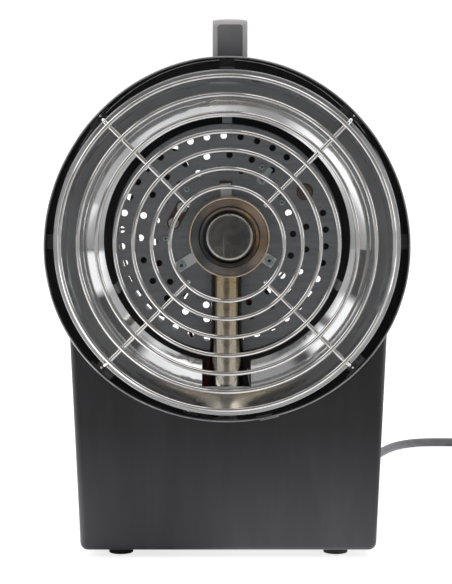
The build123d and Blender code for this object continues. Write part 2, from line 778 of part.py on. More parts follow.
# ---------------------------------------------------------------- rear wire grille
grille_y = drum_rear - 6.0
grille_wire_r = 1.3
grille_first_r = 31.0
grille_pitch = 16.0
grille_ring_count = 8
grille_hub_r = 20.0
grille_spoke_count = 6
grille_outer_r = grille_first_r + (grille_ring_count - 1) * grille_pitch
with BuildPart() as grille_rings:
    with Locations(across(grille_y, 0, axis_z)):
        for index in range(grille_ring_count):
            Torus(grille_first_r + index * grille_pitch, grille_wire_r)
grille_rings.part.label = "grille_rings"
export_step(grille_rings.part, "parts/grille_rings.step")

with BuildPart() as grille_spokes:
    spoke_plane_y = grille_y - 2 * grille_wire_r + weld_bite
    spoke_length = grille_outer_r - grille_hub_r + 2.0
    with Locations(across(spoke_plane_y, 0, axis_z)):
        Cylinder(grille_hub_r, 1.6)
    for index in range(grille_spoke_count):
        x, z = on_clock(grille_hub_r - 2.0, 30 + index * 360 / grille_spoke_count)
        spoke = Plane(origin=(x, spoke_plane_y, z), x_dir=(0, 1, 0), z_dir=(x, 0, z - axis_z))
        with Locations(spoke):
            Cylinder(grille_wire_r, spoke_length, align=(Align.CENTER, Align.CENTER, Align.MIN))
grille_spokes.part.label = "grille_spokes"
export_step(grille_spokes.part, "parts/grille_spokes.step")

# ---------------------------------------------------------------- grille brackets and their screws
grille_tab_angles = (30, 90, 270, 330)
with BuildPart() as grille_brackets:
    for angle in grille_tab_angles:
        inner_wall = drum_radius(angle) - drum_wall - wall_play
        with BuildSketch(slice_at(angle)):
            with BuildLine():
                Polyline(
                    (inner_wall, grille_y - 16.0),
                    (inner_wall, grille_y + 4.0),
                    (grille_outer_r - 3.0, grille_y + 4.0),
                    (grille_outer_r - 3.0, grille_y + grille_wire_r + 0.1),
                    (inner_wall - bracket_sheet, grille_y + grille_wire_r + 0.1),
                    (inner_wall - bracket_sheet, grille_y - 16.0),
                    close=True,
                )
            make_face()
        extrude(amount=6.0, both=True)
grille_brackets.part.label = "grille_brackets"
export_step(grille_brackets.part, "parts/grille_brackets.step")

with BuildPart() as grille_screws:
    for angle in grille_tab_angles:
        x, z = on_clock(drum_radius(angle) + 0.05, angle)
        outward = (x, 0, z - axis_z)
        with Locations(Plane(origin=(x, grille_y - 10.0, z), x_dir=(0, 1, 0), z_dir=outward)):
            add(small_screw)
grille_screws.part.label = "grille_screws"
export_step(grille_screws.part, "parts/grille_screws.step")

# ---------------------------------------------------------------- base housing
plunger_x = -60.0
plunger_y = 20.0
plunger_r = 3.0
with BuildPart() as base_housing:
    add(base_solid(0, base_front, base_rear))
    upright = base_housing.edges().filter_by(Axis.Y).group_by(Axis.Z)[0]
    fillet(upright, 6.5)
    front_rim = base_housing.faces().sort_by(Axis.Y)[0].edges()
    fillet(front_rim, base_edge_r)
    add(base_solid(base_wall, base_front + base_wall, base_rear + 10), mode=Mode.SUBTRACT)
    with Locations((base_x, base_front, base_top)):
        lid_align = (Align.CENTER, Align.MIN, Align.MAX)
        Box(400, 400, 8.0, align=lid_align, mode=Mode.SUBTRACT)
    add(drum_solid(-saddle_gap, base_front - 20, base_rear + 20), mode=Mode.SUBTRACT)
    with Locations((plunger_x, plunger_y, base_bottom)):
        Cylinder(plunger_r + 0.4, 20, mode=Mode.SUBTRACT)
    with Locations((stem_x, stem_y, stem_bottom)):
        above = (Align.CENTER, Align.CENTER, Align.MIN)
        Cylinder(stem_d / 2 + stem_clearance, 100, align=above, mode=Mode.SUBTRACT)
base_housing.part.label = "base_housing"
export_step(base_housing.part, "parts/base_housing.step")

# ---------------------------------------------------------------- cradles that carry the drum in the base
cradle_low = 100.0
cradle_depth = 10.0
cradle_fronts = (-30.0, 36.0)
cradle_screw_angles = (145, 215)
with BuildPart() as drum_cradles:
    for y in cradle_fronts:
        add(base_solid(base_wall + 0.3, y, y + cradle_depth))
    add(drum_solid(-saddle_gap, base_front - 20, base_rear + 20), mode=Mode.SUBTRACT)
    with Locations((base_x, 0, cradle_low)):
        Box(400, 400, 200, align=(Align.CENTER, Align.CENTER, Align.MAX), mode=Mode.SUBTRACT)
    with Locations((base_x, 0, base_top - 10)):
        Box(400, 400, 50, align=(Align.CENTER, Align.CENTER, Align.MIN), mode=Mode.SUBTRACT)
drum_cradles.part.label = "drum_cradles"
export_step(drum_cradles.part, "parts/drum_cradles.step")

# ---------------------------------------------------------------- screws from the drum into the cradles
with BuildPart() as cradle_screws:
    for y in cradle_fronts:
        for angle in cradle_screw_angles:
            seat = drum_radius(angle) - drum_wall - 0.05
            with Locations(facing_axis(angle, seat, y + cradle_depth / 2)):
                add(panel_screw)
cradle_screws.part.label = "cradle_screws"
export_step(cradle_screws.part, "parts/cradle_screws.step")

# ---------------------------------------------------------------- rear panel with its cut-outs
panel_screw_places = [(side * 108, z) for side in (-1, 1) for z in (18, 90)]
rocker_half_x = 8.0
swing_r = 11.4
with BuildPart() as rear_panel:
    add(base_solid(base_wall + 0.4, panel_front, base_rear))
    add(drum_solid(-saddle_gap - 0.3, base_front - 20, base_rear + 20), mode=Mode.SUBTRACT)
    with Locations((base_x, base_rear, base_top - 10)):
        Box(400, 60, 50, align=(Align.CENTER, Align.CENTER, Align.MIN), mode=Mode.SUBTRACT)
    with BuildSketch(across(base_rear + 5)):
        with Locations((knob_x, controls_z)):
            Circle(3.6)
        with Locations((gland_x, gland_z)):
            Circle(7.2)
        with Locations((rocker_x, controls_z)):
            Rectangle(2 * rocker_half_x + 6.0, 2 * swing_r + 6.0)
        with Locations((base_x - 10, 30)):
            with GridLocations(1, 6.0, 1, 4):
                SlotOverall(110, 2.6)
    extrude(amount=20, mode=Mode.SUBTRACT)
rear_panel.part.label = "rear_panel"
export_step(rear_panel.part, "parts/rear_panel.step")

with BuildPart() as rear_panel_screws:
    for x, z in panel_screw_places:
        with Locations(facing_back(base_rear + 0.05, base_x + x, z)):
            add(panel_screw)
rear_panel_screws.part.label = "rear_panel_screws"
export_step(rear_panel_screws.part, "parts/rear_panel_screws.step")

# ---------------------------------------------------------------- rubber feet and their screws
foot_places = [(base_x + side * foot_spread, y) for side in (-1, 1) for y in (foot_front, foot_rear)]
with BuildPart() as rubber_feet:
    with BuildSketch():
        with Locations(*foot_places):
            Circle(foot_d / 2)
    extrude(amount=base_bottom - 0.05, taper=-6)
    with BuildSketch():
        with Locations(*foot_places):
            Circle(4.5)
    extrude(amount=3.0, mode=Mode.SUBTRACT)
rubber_feet.part.label = "rubber_feet"
export_step(rubber_feet.part, "parts/rubber_feet.step")

with BuildPart() as foot_screws:
    for x, y in foot_places:
        with Locations(facing_down(x, y, 2.95)):
            add(panel_screw)
foot_screws.part.label = "foot_screws"
export_step(foot_screws.part, "parts/foot_screws.step")

# ---------------------------------------------------------------- carrying handle
handle_foot = axis_z + drum_r - 10
inlay_low = handle_top - 30.4
inlay_high = handle_top - 4.7
handle_side = Plane(origin=(handle_x, 0, handle_foot), x_dir=(0, 1, 0), z_dir=(1, 0, 0))
handle_middle = (handle_front + handle_rear) / 2
handle_length = handle_rear - handle_front
with BuildPart() as handle_frame:
    with BuildSketch(handle_side):
        with Locations((handle_middle, 0)):
            Rectangle(handle_length, handle_top - handle_foot, align=(Align.CENTER, Align.MIN))
    extrude(amount=handle_width / 2, both=True)
    fillet(handle_frame.edges().filter_by(Axis.X).group_by(Axis.Z)[-1], 7.0)
    with BuildSketch(across(handle_rear + 1.0, handle_x, handle_top - handle_crown_r)):
        Circle(handle_crown_r)
    extrude(amount=handle_length + 2.0, mode=Mode.INTERSECT)
    with BuildSketch(handle_side):
        with Locations((handle_middle, 0)):
            gap_height = handle_top - handle_bar - handle_foot
            Rectangle(handle_length - 2 * handle_bar, gap_height, align=(Align.CENTER, Align.MIN))
    extrude(amount=handle_width, both=True, mode=Mode.SUBTRACT)
    rim = handle_frame.faces().sort_by(Axis.X)
    fillet(rim[0].edges() + rim[-1].edges(), 1.0)
    inlay_height = inlay_high - inlay_low
    for y in (handle_front, handle_rear):
        with BuildSketch(across(y + inlay_depth, handle_x, inlay_low)) as recess:
            Rectangle(inlay_width, inlay_height, align=(Align.CENTER, Align.MIN))
            fillet(recess.vertices().group_by(Axis.Y)[-1], inlay_corner_r)
        extrude(amount=2 * inlay_depth, mode=Mode.SUBTRACT)
    with Locations((handle_x, handle_middle, handle_top)):
        Box(inlay_width, handle_length - 24.0, 2 * inlay_depth, mode=Mode.SUBTRACT)
    add(drum_solid(-0.1, handle_front - 10, handle_rear + 10), mode=Mode.SUBTRACT)
handle_frame.part.label = "handle_frame"
export_step(handle_frame.part, "parts/handle_frame.step")

# ---------------------------------------------------------------- inlays let into the handle
inlay_play = 0.15
with BuildPart() as handle_inlays:
    inlay_side = inlay_width - 2 * inlay_play
    inlay_sheet = inlay_depth - 0.1
    with Locations((handle_x, handle_middle, handle_top)):
        top_align = (Align.CENTER, Align.CENTER, Align.MAX)
        Box(inlay_side, handle_length - 24.0 - 2 * inlay_play, inlay_sheet, align=top_align)
    with BuildSketch(across(handle_rear + 1.0, handle_x, handle_top - handle_crown_r)):
        Circle(handle_crown_r)
    extrude(amount=handle_length + 2.0, mode=Mode.INTERSECT)
    for y in (handle_front + inlay_sheet, handle_rear):
        with BuildSketch(across(y, handle_x, inlay_low + inlay_play)) as outline:
            Rectangle(inlay_side, inlay_height - 2 * inlay_play, align=(Align.CENTER, Align.MIN))
            fillet(outline.vertices().group_by(Axis.Y)[-1], inlay_corner_r - inlay_play)
        extrude(amount=inlay_sheet)
handle_inlays.part.label = "handle_inlays"
export_step(handle_inlays.part, "parts/handle_inlays.step")

# ---------------------------------------------------------------- screws from the drum into the handle
with BuildPart() as handle_screws:
    for y in (handle_front + handle_bar / 2, handle_rear - handle_bar / 2):
        with Locations(facing_down(handle_x, y, axis_z + drum_radius(0) - drum_wall - 0.1)):
            add(panel_screw)
handle_screws.part.label = "handle_screws"
export_step(handle_screws.part, "parts/handle_screws.step")

# ---------------------------------------------------------------- terminal block on the base's floor
with BuildPart() as terminal_block:
    with Locations((30, 10, floor_top + 0.1)):
        Box(54, 20, 16, align=(Align.CENTER, Align.CENTER, Align.MIN))
    with Locations((30, 10, floor_top + 16.1)):
        with GridLocations(10.5, 10.0, 5, 2):
            Cylinder(3.2, 9.0, mode=Mode.SUBTRACT)
    with Locations((30, 10, floor_top + 16.1)):
        with GridLocations(10.5, 1, 4, 1):
            Box(1.2, 20, 8.0, mode=Mode.SUBTRACT)
terminal_block.part.label = "terminal_block"
export_step(terminal_block.part, "parts/terminal_block.step")

# ---------------------------------------------------------------- clamp on the cord inside the base
with BuildPart() as cord_clamp:
    with Locations((98, 30, floor_top + 0.1)):
        Box(30, 12, 9, align=(Align.CENTER, Align.CENTER, Align.MIN))
    with Locations((98, 30, floor_top + 9.1)):
        Box(22, 10, 5, align=(Align.CENTER, Align.CENTER, Align.MIN))
    with Locations((98, 30, floor_top + 9.0)):
        Cylinder(cord_d / 2, 40, rotation=(90, 0, 0), mode=Mode.SUBTRACT)
cord_clamp.part.label = "cord_clamp"
export_step(cord_clamp.part, "parts/cord_clamp.step")

# ---------------------------------------------------------------- gland and tapered strain relief
gland_side = Plane(origin=(gland_x, 0, gland_z), x_dir=(0, 1, 0), z_dir=(1, 0, 0))
gland_axis = Axis((gland_x, 0, gland_z), (0, 1, 0))
boot_grooves = 5
with BuildPart() as cord_gland:
    with BuildSketch(gland_side):
        with BuildLine():
            Polyline(
                (panel_front - 6.0, 0),
                (panel_front - 6.0, 10.0),
                (panel_front - 0.1, 10.0),
                (panel_front - 0.1, 7.0),
                (base_rear + 0.1, 7.0),
                (base_rear + 0.1, 10.0),
                (base_rear + 4.0, 10.0),
                (base_rear + 5.0, 8.0),
                (depth_rear, cord_d / 2 + 0.8),
                (depth_rear, 0),
                close=True,
            )
        make_face()
    revolve(axis=gland_axis)
    for index in range(boot_grooves):
        with BuildSketch(across(base_rear + 10.0 + index * 4.0, gland_x, gland_z)):
            Circle(20)
            Circle(6.7 - index * 0.4, mode=Mode.SUBTRACT)
        extrude(amount=1.4, mode=Mode.SUBTRACT)
cord_gland.part.label = "cord_gland"
export_step(cord_gland.part, "parts/cord_gland.step")

# ---------------------------------------------------------------- power switch body
pivot_y = base_rear - 4.0
rocker_side = Plane(origin=(rocker_x, pivot_y, controls_z), x_dir=(0, 1, 0), z_dir=(1, 0, 0))
with BuildPart() as switch_body:
    with Locations((rocker_x, base_rear + 0.1, controls_z)):
        bezel_align = (Align.CENTER, Align.MIN, Align.CENTER)
        Box(2 * rocker_half_x + 10.0, 2.0, 2 * swing_r + 9.0, align=bezel_align)
    with Locations((rocker_x, base_rear + 0.2, controls_z)):
        body_align = (Align.CENTER, Align.MAX, Align.CENTER)
        Box(2 * rocker_half_x + 5.0, 24.0, 2 * swing_r + 4.4, align=body_align)
    with BuildSketch(rocker_side):
        Circle(swing_r + 0.5)
        Rectangle(20, 2 * swing_r + 1.0, align=(Align.MIN, Align.CENTER))
    extrude(amount=rocker_half_x + 0.4, both=True, mode=Mode.SUBTRACT)
switch_body.part.label = "switch_body"
export_step(switch_body.part, "parts/switch_body.step")

# ---------------------------------------------------------------- power rocker
with BuildPart() as power_rocker:
    with BuildSketch(rocker_side):
        Circle(swing_r)
        Polygon(
            (-3.0, -14.0),
            (4.2, -14.0),
            (5.8, 0.0),
            (10.2, 14.0),
            (-3.0, 14.0),
            align=None,
            mode=Mode.INTERSECT,
        )
    extrude(amount=rocker_half_x, both=True)
power_rocker.part.label = "power_rocker"
export_step(power_rocker.part, "parts/power_rocker.step")

# ---------------------------------------------------------------- thermostat body
knob_shaft_r = 3.0
with BuildPart() as thermostat_body:
    with Locations((knob_x, panel_front - 0.2, controls_z)):
        Box(34, 16, 28, align=(Align.CENTER, Align.MAX, Align.CENTER))
    with BuildSketch(across(base_rear, knob_x, controls_z)):
        Circle(knob_shaft_r + 0.08)
    extrude(amount=14.0, mode=Mode.SUBTRACT)
thermostat_body.part.label = "thermostat_body"
export_step(thermostat_body.part, "parts/thermostat_body.step")

# ---------------------------------------------------------------- thermostat knob on its spindle
knob_r = 17.0
knob_front = base_rear + 1.5
knob_rear = base_rear + 17.5
with BuildPart() as thermostat_knob:
    with BuildSketch(facing_back(knob_front, knob_x, controls_z)):
        Circle(knob_r)
        with PolarLocations(knob_r + 1.2, 18):
            Circle(2.2, mode=Mode.SUBTRACT)
    extrude(amount=knob_rear - knob_front)
    fillet(thermostat_knob.edges().group_by(Axis.Y)[-1], 1.0)
    with Locations((knob_x, knob_rear - 0.5, controls_z + knob_r / 2)):
        Box(1.6, 2.0, knob_r - 4.0)
    with BuildSketch(across(knob_front + 1.0, knob_x, controls_z)):
        Circle(knob_shaft_r)
    extrude(amount=14.0)
thermostat_knob.part.label = "thermostat_knob"
export_step(thermostat_knob.part, "parts/thermostat_knob.step")

# ---------------------------------------------------------------- tip-over switch
plunger_travel = 5.0
plunger_collar_r = 4.6
collar_z = floor_top + 11.0
with BuildPart() as tip_switch_body:
    with Locations((plunger_x, plunger_y, floor_top + 0.1)):
        Box(26, 18, 26, align=(Align.CENTER, Align.CENTER, Align.MIN))
    with Locations((plunger_x, plunger_y, floor_top)):
        Cylinder(plunger_r + 0.15, 60, mode=Mode.SUBTRACT)
    with Locations((plunger_x, plunger_y, collar_z - plunger_travel - 0.5)):
        collar_align = (Align.CENTER, Align.CENTER, Align.MIN)
        Cylinder(plunger_collar_r + 0.3, plunger_travel + 6.0, align=collar_align, mode=Mode.SUBTRACT)
tip_switch_body.part.label = "tip_switch_body"
export_step(tip_switch_body.part, "parts/tip_switch_body.step")

with BuildPart() as tip_plunger:
    with Locations((plunger_x, plunger_y, 0)):
        Cylinder(plunger_r, floor_top + 22.0, align=(Align.CENTER, Align.CENTER, Align.MIN))
    fillet(tip_plunger.edges().group_by(Axis.Z)[0], 1.0)
    with Locations((plunger_x, plunger_y, collar_z)):
        Cylinder(plunger_collar_r, 3.0, align=(Align.CENTER, Align.CENTER, Align.MIN))
tip_plunger.part.label = "tip_plunger"
export_step(tip_plunger.part, "parts/tip_plunger.step")

# ---------------------------------------------------------------- red leads behind the plate
lead_d = 2.6
lead_y = plate_rear + 6.5
lead_routes = (
    (
        (-17.0, -44.0, axis_z - 141.2),
        (-16.8, -44.0, axis_z - 119.2),
        (-15.0, lead_y, axis_z - 101.2),
        (-4.0, lead_y, axis_z - 77.2),
        (18.0, lead_y, axis_z - 55.2),
        (38.0, lead_y, axis_z - 27.2),
        (38.0, lead_y, axis_z + 22.8),
        (12.0, lead_y, axis_z + 43.3),
        (-8.0, lead_y, axis_z + 43.8),
    ),
    (
        (-20.5, -44.0, axis_z - 141.2),
        (-20.4, -44.0, axis_z - 119.2),
        (-22.0, lead_y, axis_z - 101.2),
        (-34.0, lead_y, axis_z - 71.2),
        (-56.0, lead_y, axis_z - 33.2),
        (-60.0, lead_y, axis_z + 26.8),
        (-43.0, lead_y, axis_z + 44.3),
        (-22.0, lead_y, axis_z + 45.8),
    ),
)
with BuildPart() as red_leads:
    for route in lead_routes:
        with BuildLine():
            lead = FilletPolyline(*route, radius=8.0)
        with BuildSketch(Plane(origin=lead @ 0, z_dir=lead % 0)):
            Circle(lead_d / 2)
        sweep(path=lead)
red_leads.part.label = "red_leads"
export_step(red_leads.part, "parts/red_leads.step")


# ---------------------------------------------------------------- mains lead outside the coil
def bend_radii(route):
    """The radius of each corner of a route: 0.45 of the shorter run over the tangent of half the turn."""
    radii = []
    for before, corner, after in zip(route, route[1:], route[2:]):
        run_in = Vector(*corner) - Vector(*before)
        run_out = Vector(*after) - Vector(*corner)
        shorter = min(run_in.length, run_out.length)
        radii.append(0.45 * shorter / tan(radians(run_in.get_angle(run_out) / 2)))
    return radii


def cord_tube(route):
    """A round tube of the cord's diameter along straight runs joined by tangent arcs."""
    radii = bend_radii(route)
    with BuildPart() as tube:
        with BuildLine():
            path = FilletPolyline(*route, radius=radii)
        with BuildSketch(Plane(origin=path @ 0, z_dir=path % 0)):
            Circle(cord_d / 2)
        sweep(path=path)
    print("cord radii", [round(radius, 1) for radius in radii])
    print("cord length", round(path.length, 1), "volume ratio",
          round(tube.part.volume / (path.length * 3.14159265 * cord_d**2 / 4), 4))
    return tube.part


cord_r = cord_d / 2
coil_outer_r = coil_turn_out + cord_r
coil_entry_x = coil_x - (coil_outer_r**2 - coil_turn_out**2) ** 0.5
coil_exit_y = coil_y - (coil_outer_r**2 - coil_turn_out**2) ** 0.5
top_turn_z = cord_d + cord_r
tail_x = coil_x + coil_turn_out
plug_rear = coil_y - 58.0
cord_route = (
    (gland_x, depth_rear, gland_z),
    (105.0, 128.0, 40.0),
    (106.0, 158.0, 33.0),
    (109.0, 190.0, 19.0),
    (116.0, 230.0, 5.4),
    (128.5, 276.0, cord_r),
    (146.0, 326.0, cord_r),
    (167.0, 380.0, cord_r),
    (184.0, 409.0, cord_r),
    (209.0, 425.5, cord_r),
    (246.0, 425.0, cord_r),
    (coil_entry_x, coil_y + coil_turn_out, cord_r),
)
tail_route = (
    (tail_x, coil_exit_y, top_turn_z),
    (tail_x, coil_exit_y - 13.0, top_turn_z + 1.2),
    (tail_x, plug_rear + 6.0, plug_axis_z - 0.3),
    (tail_x, plug_rear, plug_axis_z),
)

with BuildPart() as power_cord:
    add(cord_tube(cord_route))
power_cord.part.label = "power_cord"
export_step(power_cord.part, "parts/power_cord.step")

with BuildPart() as cord_tail:
    add(cord_tube(tail_route))
cord_tail.part.label = "cord_tail"
export_step(cord_tail.part, "parts/cord_tail.step")

# ---------------------------------------------------------------- mains lead: the put-away coil
with BuildPart() as cord_coil:
    with Locations((coil_x, coil_y, 0)):
        Cylinder(coil_outer_r, 2 * cord_d, align=(Align.CENTER, Align.CENTER, Align.MIN))
        Cylinder(coil_turn_in - cord_r, 100, mode=Mode.SUBTRACT)
    fillet(cord_coil.edges(), cord_r * 0.8)
cord_coil.part.label = "cord_coil"
export_step(cord_coil.part, "parts/cord_coil.step")

# ---------------------------------------------------------------- plug at the cord's far end
plug_side = Plane(origin=(tail_x, 0, plug_axis_z), x_dir=(0, 1, 0), z_dir=(1, 0, 0))
plug_axis = Axis((tail_x, 0, plug_axis_z), (0, 1, 0))
plug_face = plug_rear - 72.0
with BuildPart() as mains_plug:
    with BuildSketch(plug_side):
        with BuildLine():
            Polyline(
                (plug_rear, 0),
                (plug_rear, cord_r + 1.0),
                (plug_rear - 24.0, 7.6),
                (plug_rear - 26.0, 11.5),
                (plug_rear - 46.0, 14.0),
                (plug_rear - 52.0, plug_r),
                (plug_face, plug_r),
                (plug_face, 0),
                close=True,
            )
        make_face()
    revolve(axis=plug_axis)
    fillet(mains_plug.edges().group_by(Axis.Y)[0], 2.0)
mains_plug.part.label = "mains_plug"
export_step(mains_plug.part, "parts/mains_plug.step")

pin_r = 2.4
pin_spacing = 19.0
pin_length = 19.0
with BuildPart() as plug_pins:
    with BuildSketch(across(plug_face - 0.05, tail_x, plug_axis_z)):
        with GridLocations(pin_spacing, 1, 2, 1):
            Circle(pin_r)
    extrude(amount=pin_length)
    fillet(plug_pins.edges().group_by(Axis.Y)[0], 1.4)
plug_pins.part.label = "plug_pins"
export_step(plug_pins.part, "parts/plug_pins.step")
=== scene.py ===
import json
from math import cos, pi, radians, sin

import bpy
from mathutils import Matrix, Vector, noise


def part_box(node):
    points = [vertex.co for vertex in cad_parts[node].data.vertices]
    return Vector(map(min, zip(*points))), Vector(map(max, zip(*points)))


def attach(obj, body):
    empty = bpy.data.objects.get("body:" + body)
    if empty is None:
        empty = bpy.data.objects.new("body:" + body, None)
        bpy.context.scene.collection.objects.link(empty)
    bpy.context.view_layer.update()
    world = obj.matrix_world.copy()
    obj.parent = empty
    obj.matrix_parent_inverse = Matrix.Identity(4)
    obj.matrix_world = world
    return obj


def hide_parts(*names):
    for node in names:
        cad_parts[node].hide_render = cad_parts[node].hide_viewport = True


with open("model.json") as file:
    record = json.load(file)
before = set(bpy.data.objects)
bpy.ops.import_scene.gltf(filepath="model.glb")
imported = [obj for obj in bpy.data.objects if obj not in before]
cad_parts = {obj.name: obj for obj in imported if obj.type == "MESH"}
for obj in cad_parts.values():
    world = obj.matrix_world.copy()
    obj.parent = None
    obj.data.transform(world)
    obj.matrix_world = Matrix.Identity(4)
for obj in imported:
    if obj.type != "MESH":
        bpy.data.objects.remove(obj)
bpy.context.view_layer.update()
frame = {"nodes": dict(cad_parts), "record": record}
scene = bpy.context.scene

# A portable bowl heater in metres: -Y is its front, +X its right as seen from the front, +Z up. The
# places of the pieces come from the frame's nodes, and the cord's route repeats the CAD model's.

# ---------------------------------------------------------------- measures
MM = 0.001
guard_low, guard_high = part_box("guard_rings")
wire_r = (guard_high.y - guard_low.y) / 2
guard_y = (guard_low.y + guard_high.y) / 2
axis_z = (guard_low.z + guard_high.z) / 2
ring_pitch = 14.7 * MM
ring_count = 7
ring_last_r = guard_high.x - wire_r
ring_radii = [ring_last_r - step * ring_pitch for step in reversed(range(ring_count))]
spoke_angles = (45, 135, 225, 315)
spoke_turn_r = 139.4 * MM

drum_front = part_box("drum_shell")[0].y
drum_mean_r = 148.2 * MM
drum_lobe = 1.5 * MM
drum_wall = 1.4 * MM
drum_lobes = 3
seam_angle = 168            # clock angle of the rolled sheet's lap

bowl_low, bowl_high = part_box("reflector_bowl")
bowl_front = bowl_low.y
flange_r = bowl_high.x
bowl_mouth_r = 133.0 * MM
bowl_arc_r = 78.8 * MM
bowl_angle_front = radians(25)
bowl_angle_rear = radians(60)

plate_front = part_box("back_plate")[0].y
cup_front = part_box("emitter_cup")[0].y
cap_low, cap_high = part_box("emitter_cap")
cap_x = (cap_low.x + cap_high.x) / 2
cap_z = (cap_low.z + cap_high.z) / 2
cup_r = 33.0 * MM
cap_r = (cap_high.x - cap_low.x) / 2
stem_low, stem_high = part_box("stem_tube")
stem_x = (stem_low.x + stem_high.x) / 2
stem_y = (stem_low.y + stem_high.y) / 2
stem_r = (stem_high.x - stem_low.x) / 2
base_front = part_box("base_housing")[0].y


def on_clock(radius, angle, y, centre=(0.0, None)):
    """A point at a radius and depth, at an angle clockwise from the top as seen from the front."""
    centre_x, centre_z = centre
    middle_z = axis_z if centre_z is None else centre_z
    turn = radians(angle)
    return Vector((centre_x + radius * sin(turn), y, middle_z + radius * cos(turn)))


def drum_radius(angle):
    """Outer radius of the rolled drum at a clock angle."""
    return drum_mean_r + drum_lobe * cos(radians(drum_lobes * angle))


# ---------------------------------------------------------------- camera
guard_to_camera = 1.5
camera_height = 0.3828
camera_pitch = 4.24
camera_lens = 116.3
camera_shift = (-0.0019, -0.1027)


def make_camera():
    camera = bpy.data.objects.new("camera", bpy.data.cameras.new("camera"))
    scene.collection.objects.link(camera)
    camera.location = (0, guard_y - guard_to_camera, camera_height)
    camera.rotation_euler = (radians(90 - camera_pitch), 0, 0)
    camera.data.lens = camera_lens
    camera.data.shift_x, camera.data.shift_y = camera_shift
    scene.camera = camera


make_camera()

# ---------------------------------------------------------------- the shading kit
white = (1.0, 1.0, 1.0, 1.0)


class Shading:
    """Steps of a node tree."""

    def add(self, kind, **settings):
        made = self.tree.nodes.new(kind)
        for key, value in settings.items():
            setattr(made, key, value)
        return made

    def feed(self, socket, value):
        """Links an output to a socket, or gives the socket a plain value."""
        if isinstance(value, bpy.types.NodeSocket):
            self.tree.links.new(value, socket)
        else:
            socket.default_value = value

    def math(self, operation, first, second=0.0):
        step = self.add("ShaderNodeMath", operation=operation)
        self.feed(step.inputs[0], first)
        self.feed(step.inputs[1], second)
        return step.outputs[0]


class Surface(Shading):
    """A Principled material. Even values sit on the shader's own sockets, and layers are built in steps."""

    def __init__(self, name, color, metallic=0.0, roughness=0.5, more=None):
        self.material = bpy.data.materials.new(name)
        self.material.use_nodes = True
        self.tree = self.material.node_tree
        self.shader = self.tree.nodes["Principled BSDF"]
        self.shader.inputs["Base Color"].default_value = (*color, 1.0)
        self.shader.inputs["Metallic"].default_value = metallic
        self.shader.inputs["Roughness"].default_value = roughness
        for socket, value in (more or {}).items():
            self.shader.inputs[socket].default_value = value
        self.place = self.add("ShaderNodeTexCoord").outputs["Object"]

    def noise(self, scale, detail=3.0, stretch=(1.0, 1.0, 1.0), turn=(0.0, 0.0, 0.0), place=None):
        """Noise of that many features a metre, squeezed along each axis by the stretch."""
        mapping = self.add("ShaderNodeMapping")
        self.feed(mapping.inputs["Vector"], place or self.place)
        mapping.inputs["Rotation"].default_value = turn
        mapping.inputs["Scale"].default_value = stretch
        step = self.add("ShaderNodeTexNoise")
        self.feed(step.inputs["Vector"], mapping.outputs[0])
        step.inputs["Scale"].default_value = scale
        step.inputs["Detail"].default_value = detail
        return step.outputs["Fac"]

    def remap(self, value, low, high, to_low=0.0, to_high=1.0):
        step = self.add("ShaderNodeMapRange")
        for socket, given in zip(step.inputs, (value, low, high, to_low, to_high)):
            self.feed(socket, given)
        return step.outputs["Result"]

    def mix(self, factor, first, second):
        """A colour between two, each a plain (r, g, b) or an output."""
        step = self.add("ShaderNodeMix", data_type="RGBA")
        self.feed(step.inputs[0], factor)
        for socket, value in ((step.inputs[6], first), (step.inputs[7], second)):
            self.feed(socket, (*value, 1.0) if isinstance(value, tuple) else value)
        return step.outputs[2]

    def axes(self):
        """The X, Y and Z of the point."""
        step = self.add("ShaderNodeSeparateXYZ")
        self.feed(step.inputs[0], self.place)
        return step.outputs

    def polar(self, x, z):
        """Distance from an axis along Y through x and z, and the angle round it."""
        point_x, _, point_z = self.axes()
        side = self.math("SUBTRACT", point_x, x)
        rise = self.math("SUBTRACT", point_z, z)
        squares = self.math("ADD", self.math("MULTIPLY", side, side), self.math("MULTIPLY", rise, rise))
        return self.math("SQRT", squares), self.math("ARCTAN2", side, rise)

    def lathe_grain(self, x, z, lines, turns=2.0):
        """Noise drawn out round an axis along Y, as left by polishing or turning."""
        distance, angle = self.polar(x, z)
        step = self.add("ShaderNodeCombineXYZ")
        self.feed(step.inputs[0], self.math("MULTIPLY", distance, lines))
        self.feed(step.inputs[1], self.math("MULTIPLY", self.math("SINE", angle), turns))
        self.feed(step.inputs[2], self.math("MULTIPLY", self.math("COSINE", angle), turns))
        return self.noise(1.0, detail=2.0, place=step.outputs[0])

    def color(self, output):
        self.feed(self.shader.inputs["Base Color"], output)
        return self

    def roughness(self, value, low, high):
        """Roughness from low to high as a value goes from 0.3 to 0.7, the usual reach of noise."""
        self.feed(self.shader.inputs["Roughness"], self.remap(value, 0.3, 0.7, low, high))
        return self

    def bump(self, height, distance, strength=1.0):
        """Relief of that depth in metres, on top of any relief already there."""
        step = self.add("ShaderNodeBump")
        step.inputs["Strength"].default_value = strength
        step.inputs["Distance"].default_value = distance
        self.feed(step.inputs["Height"], height)
        below = self.shader.inputs["Normal"].links
        if below:
            self.feed(step.inputs["Normal"], below[0].from_socket)
        self.feed(self.shader.inputs["Normal"], step.outputs["Normal"])
        return self


# ---------------------------------------------------------------- materials, one for each slot
def drum_black():
    """Satin black paint on rolled sheet, with a fine orange peel and a few rubbed patches."""
    paint = Surface("drum_black", (0.02, 0.02, 0.021), roughness=0.36)
    patches = paint.noise(14.0, 5.0)
    paint.color(paint.mix(paint.remap(patches, 0.42, 0.7), (0.070, 0.068, 0.071), (0.100, 0.097, 0.101)))
    paint.roughness(paint.noise(60.0, 4.0), 0.42, 0.56)
    return paint.bump(paint.noise(900.0, 2.0), 0.00005, 0.5)


painted_light_height = 110 * MM        # height up to which the base is painted lighter: painted light from the floor's glow
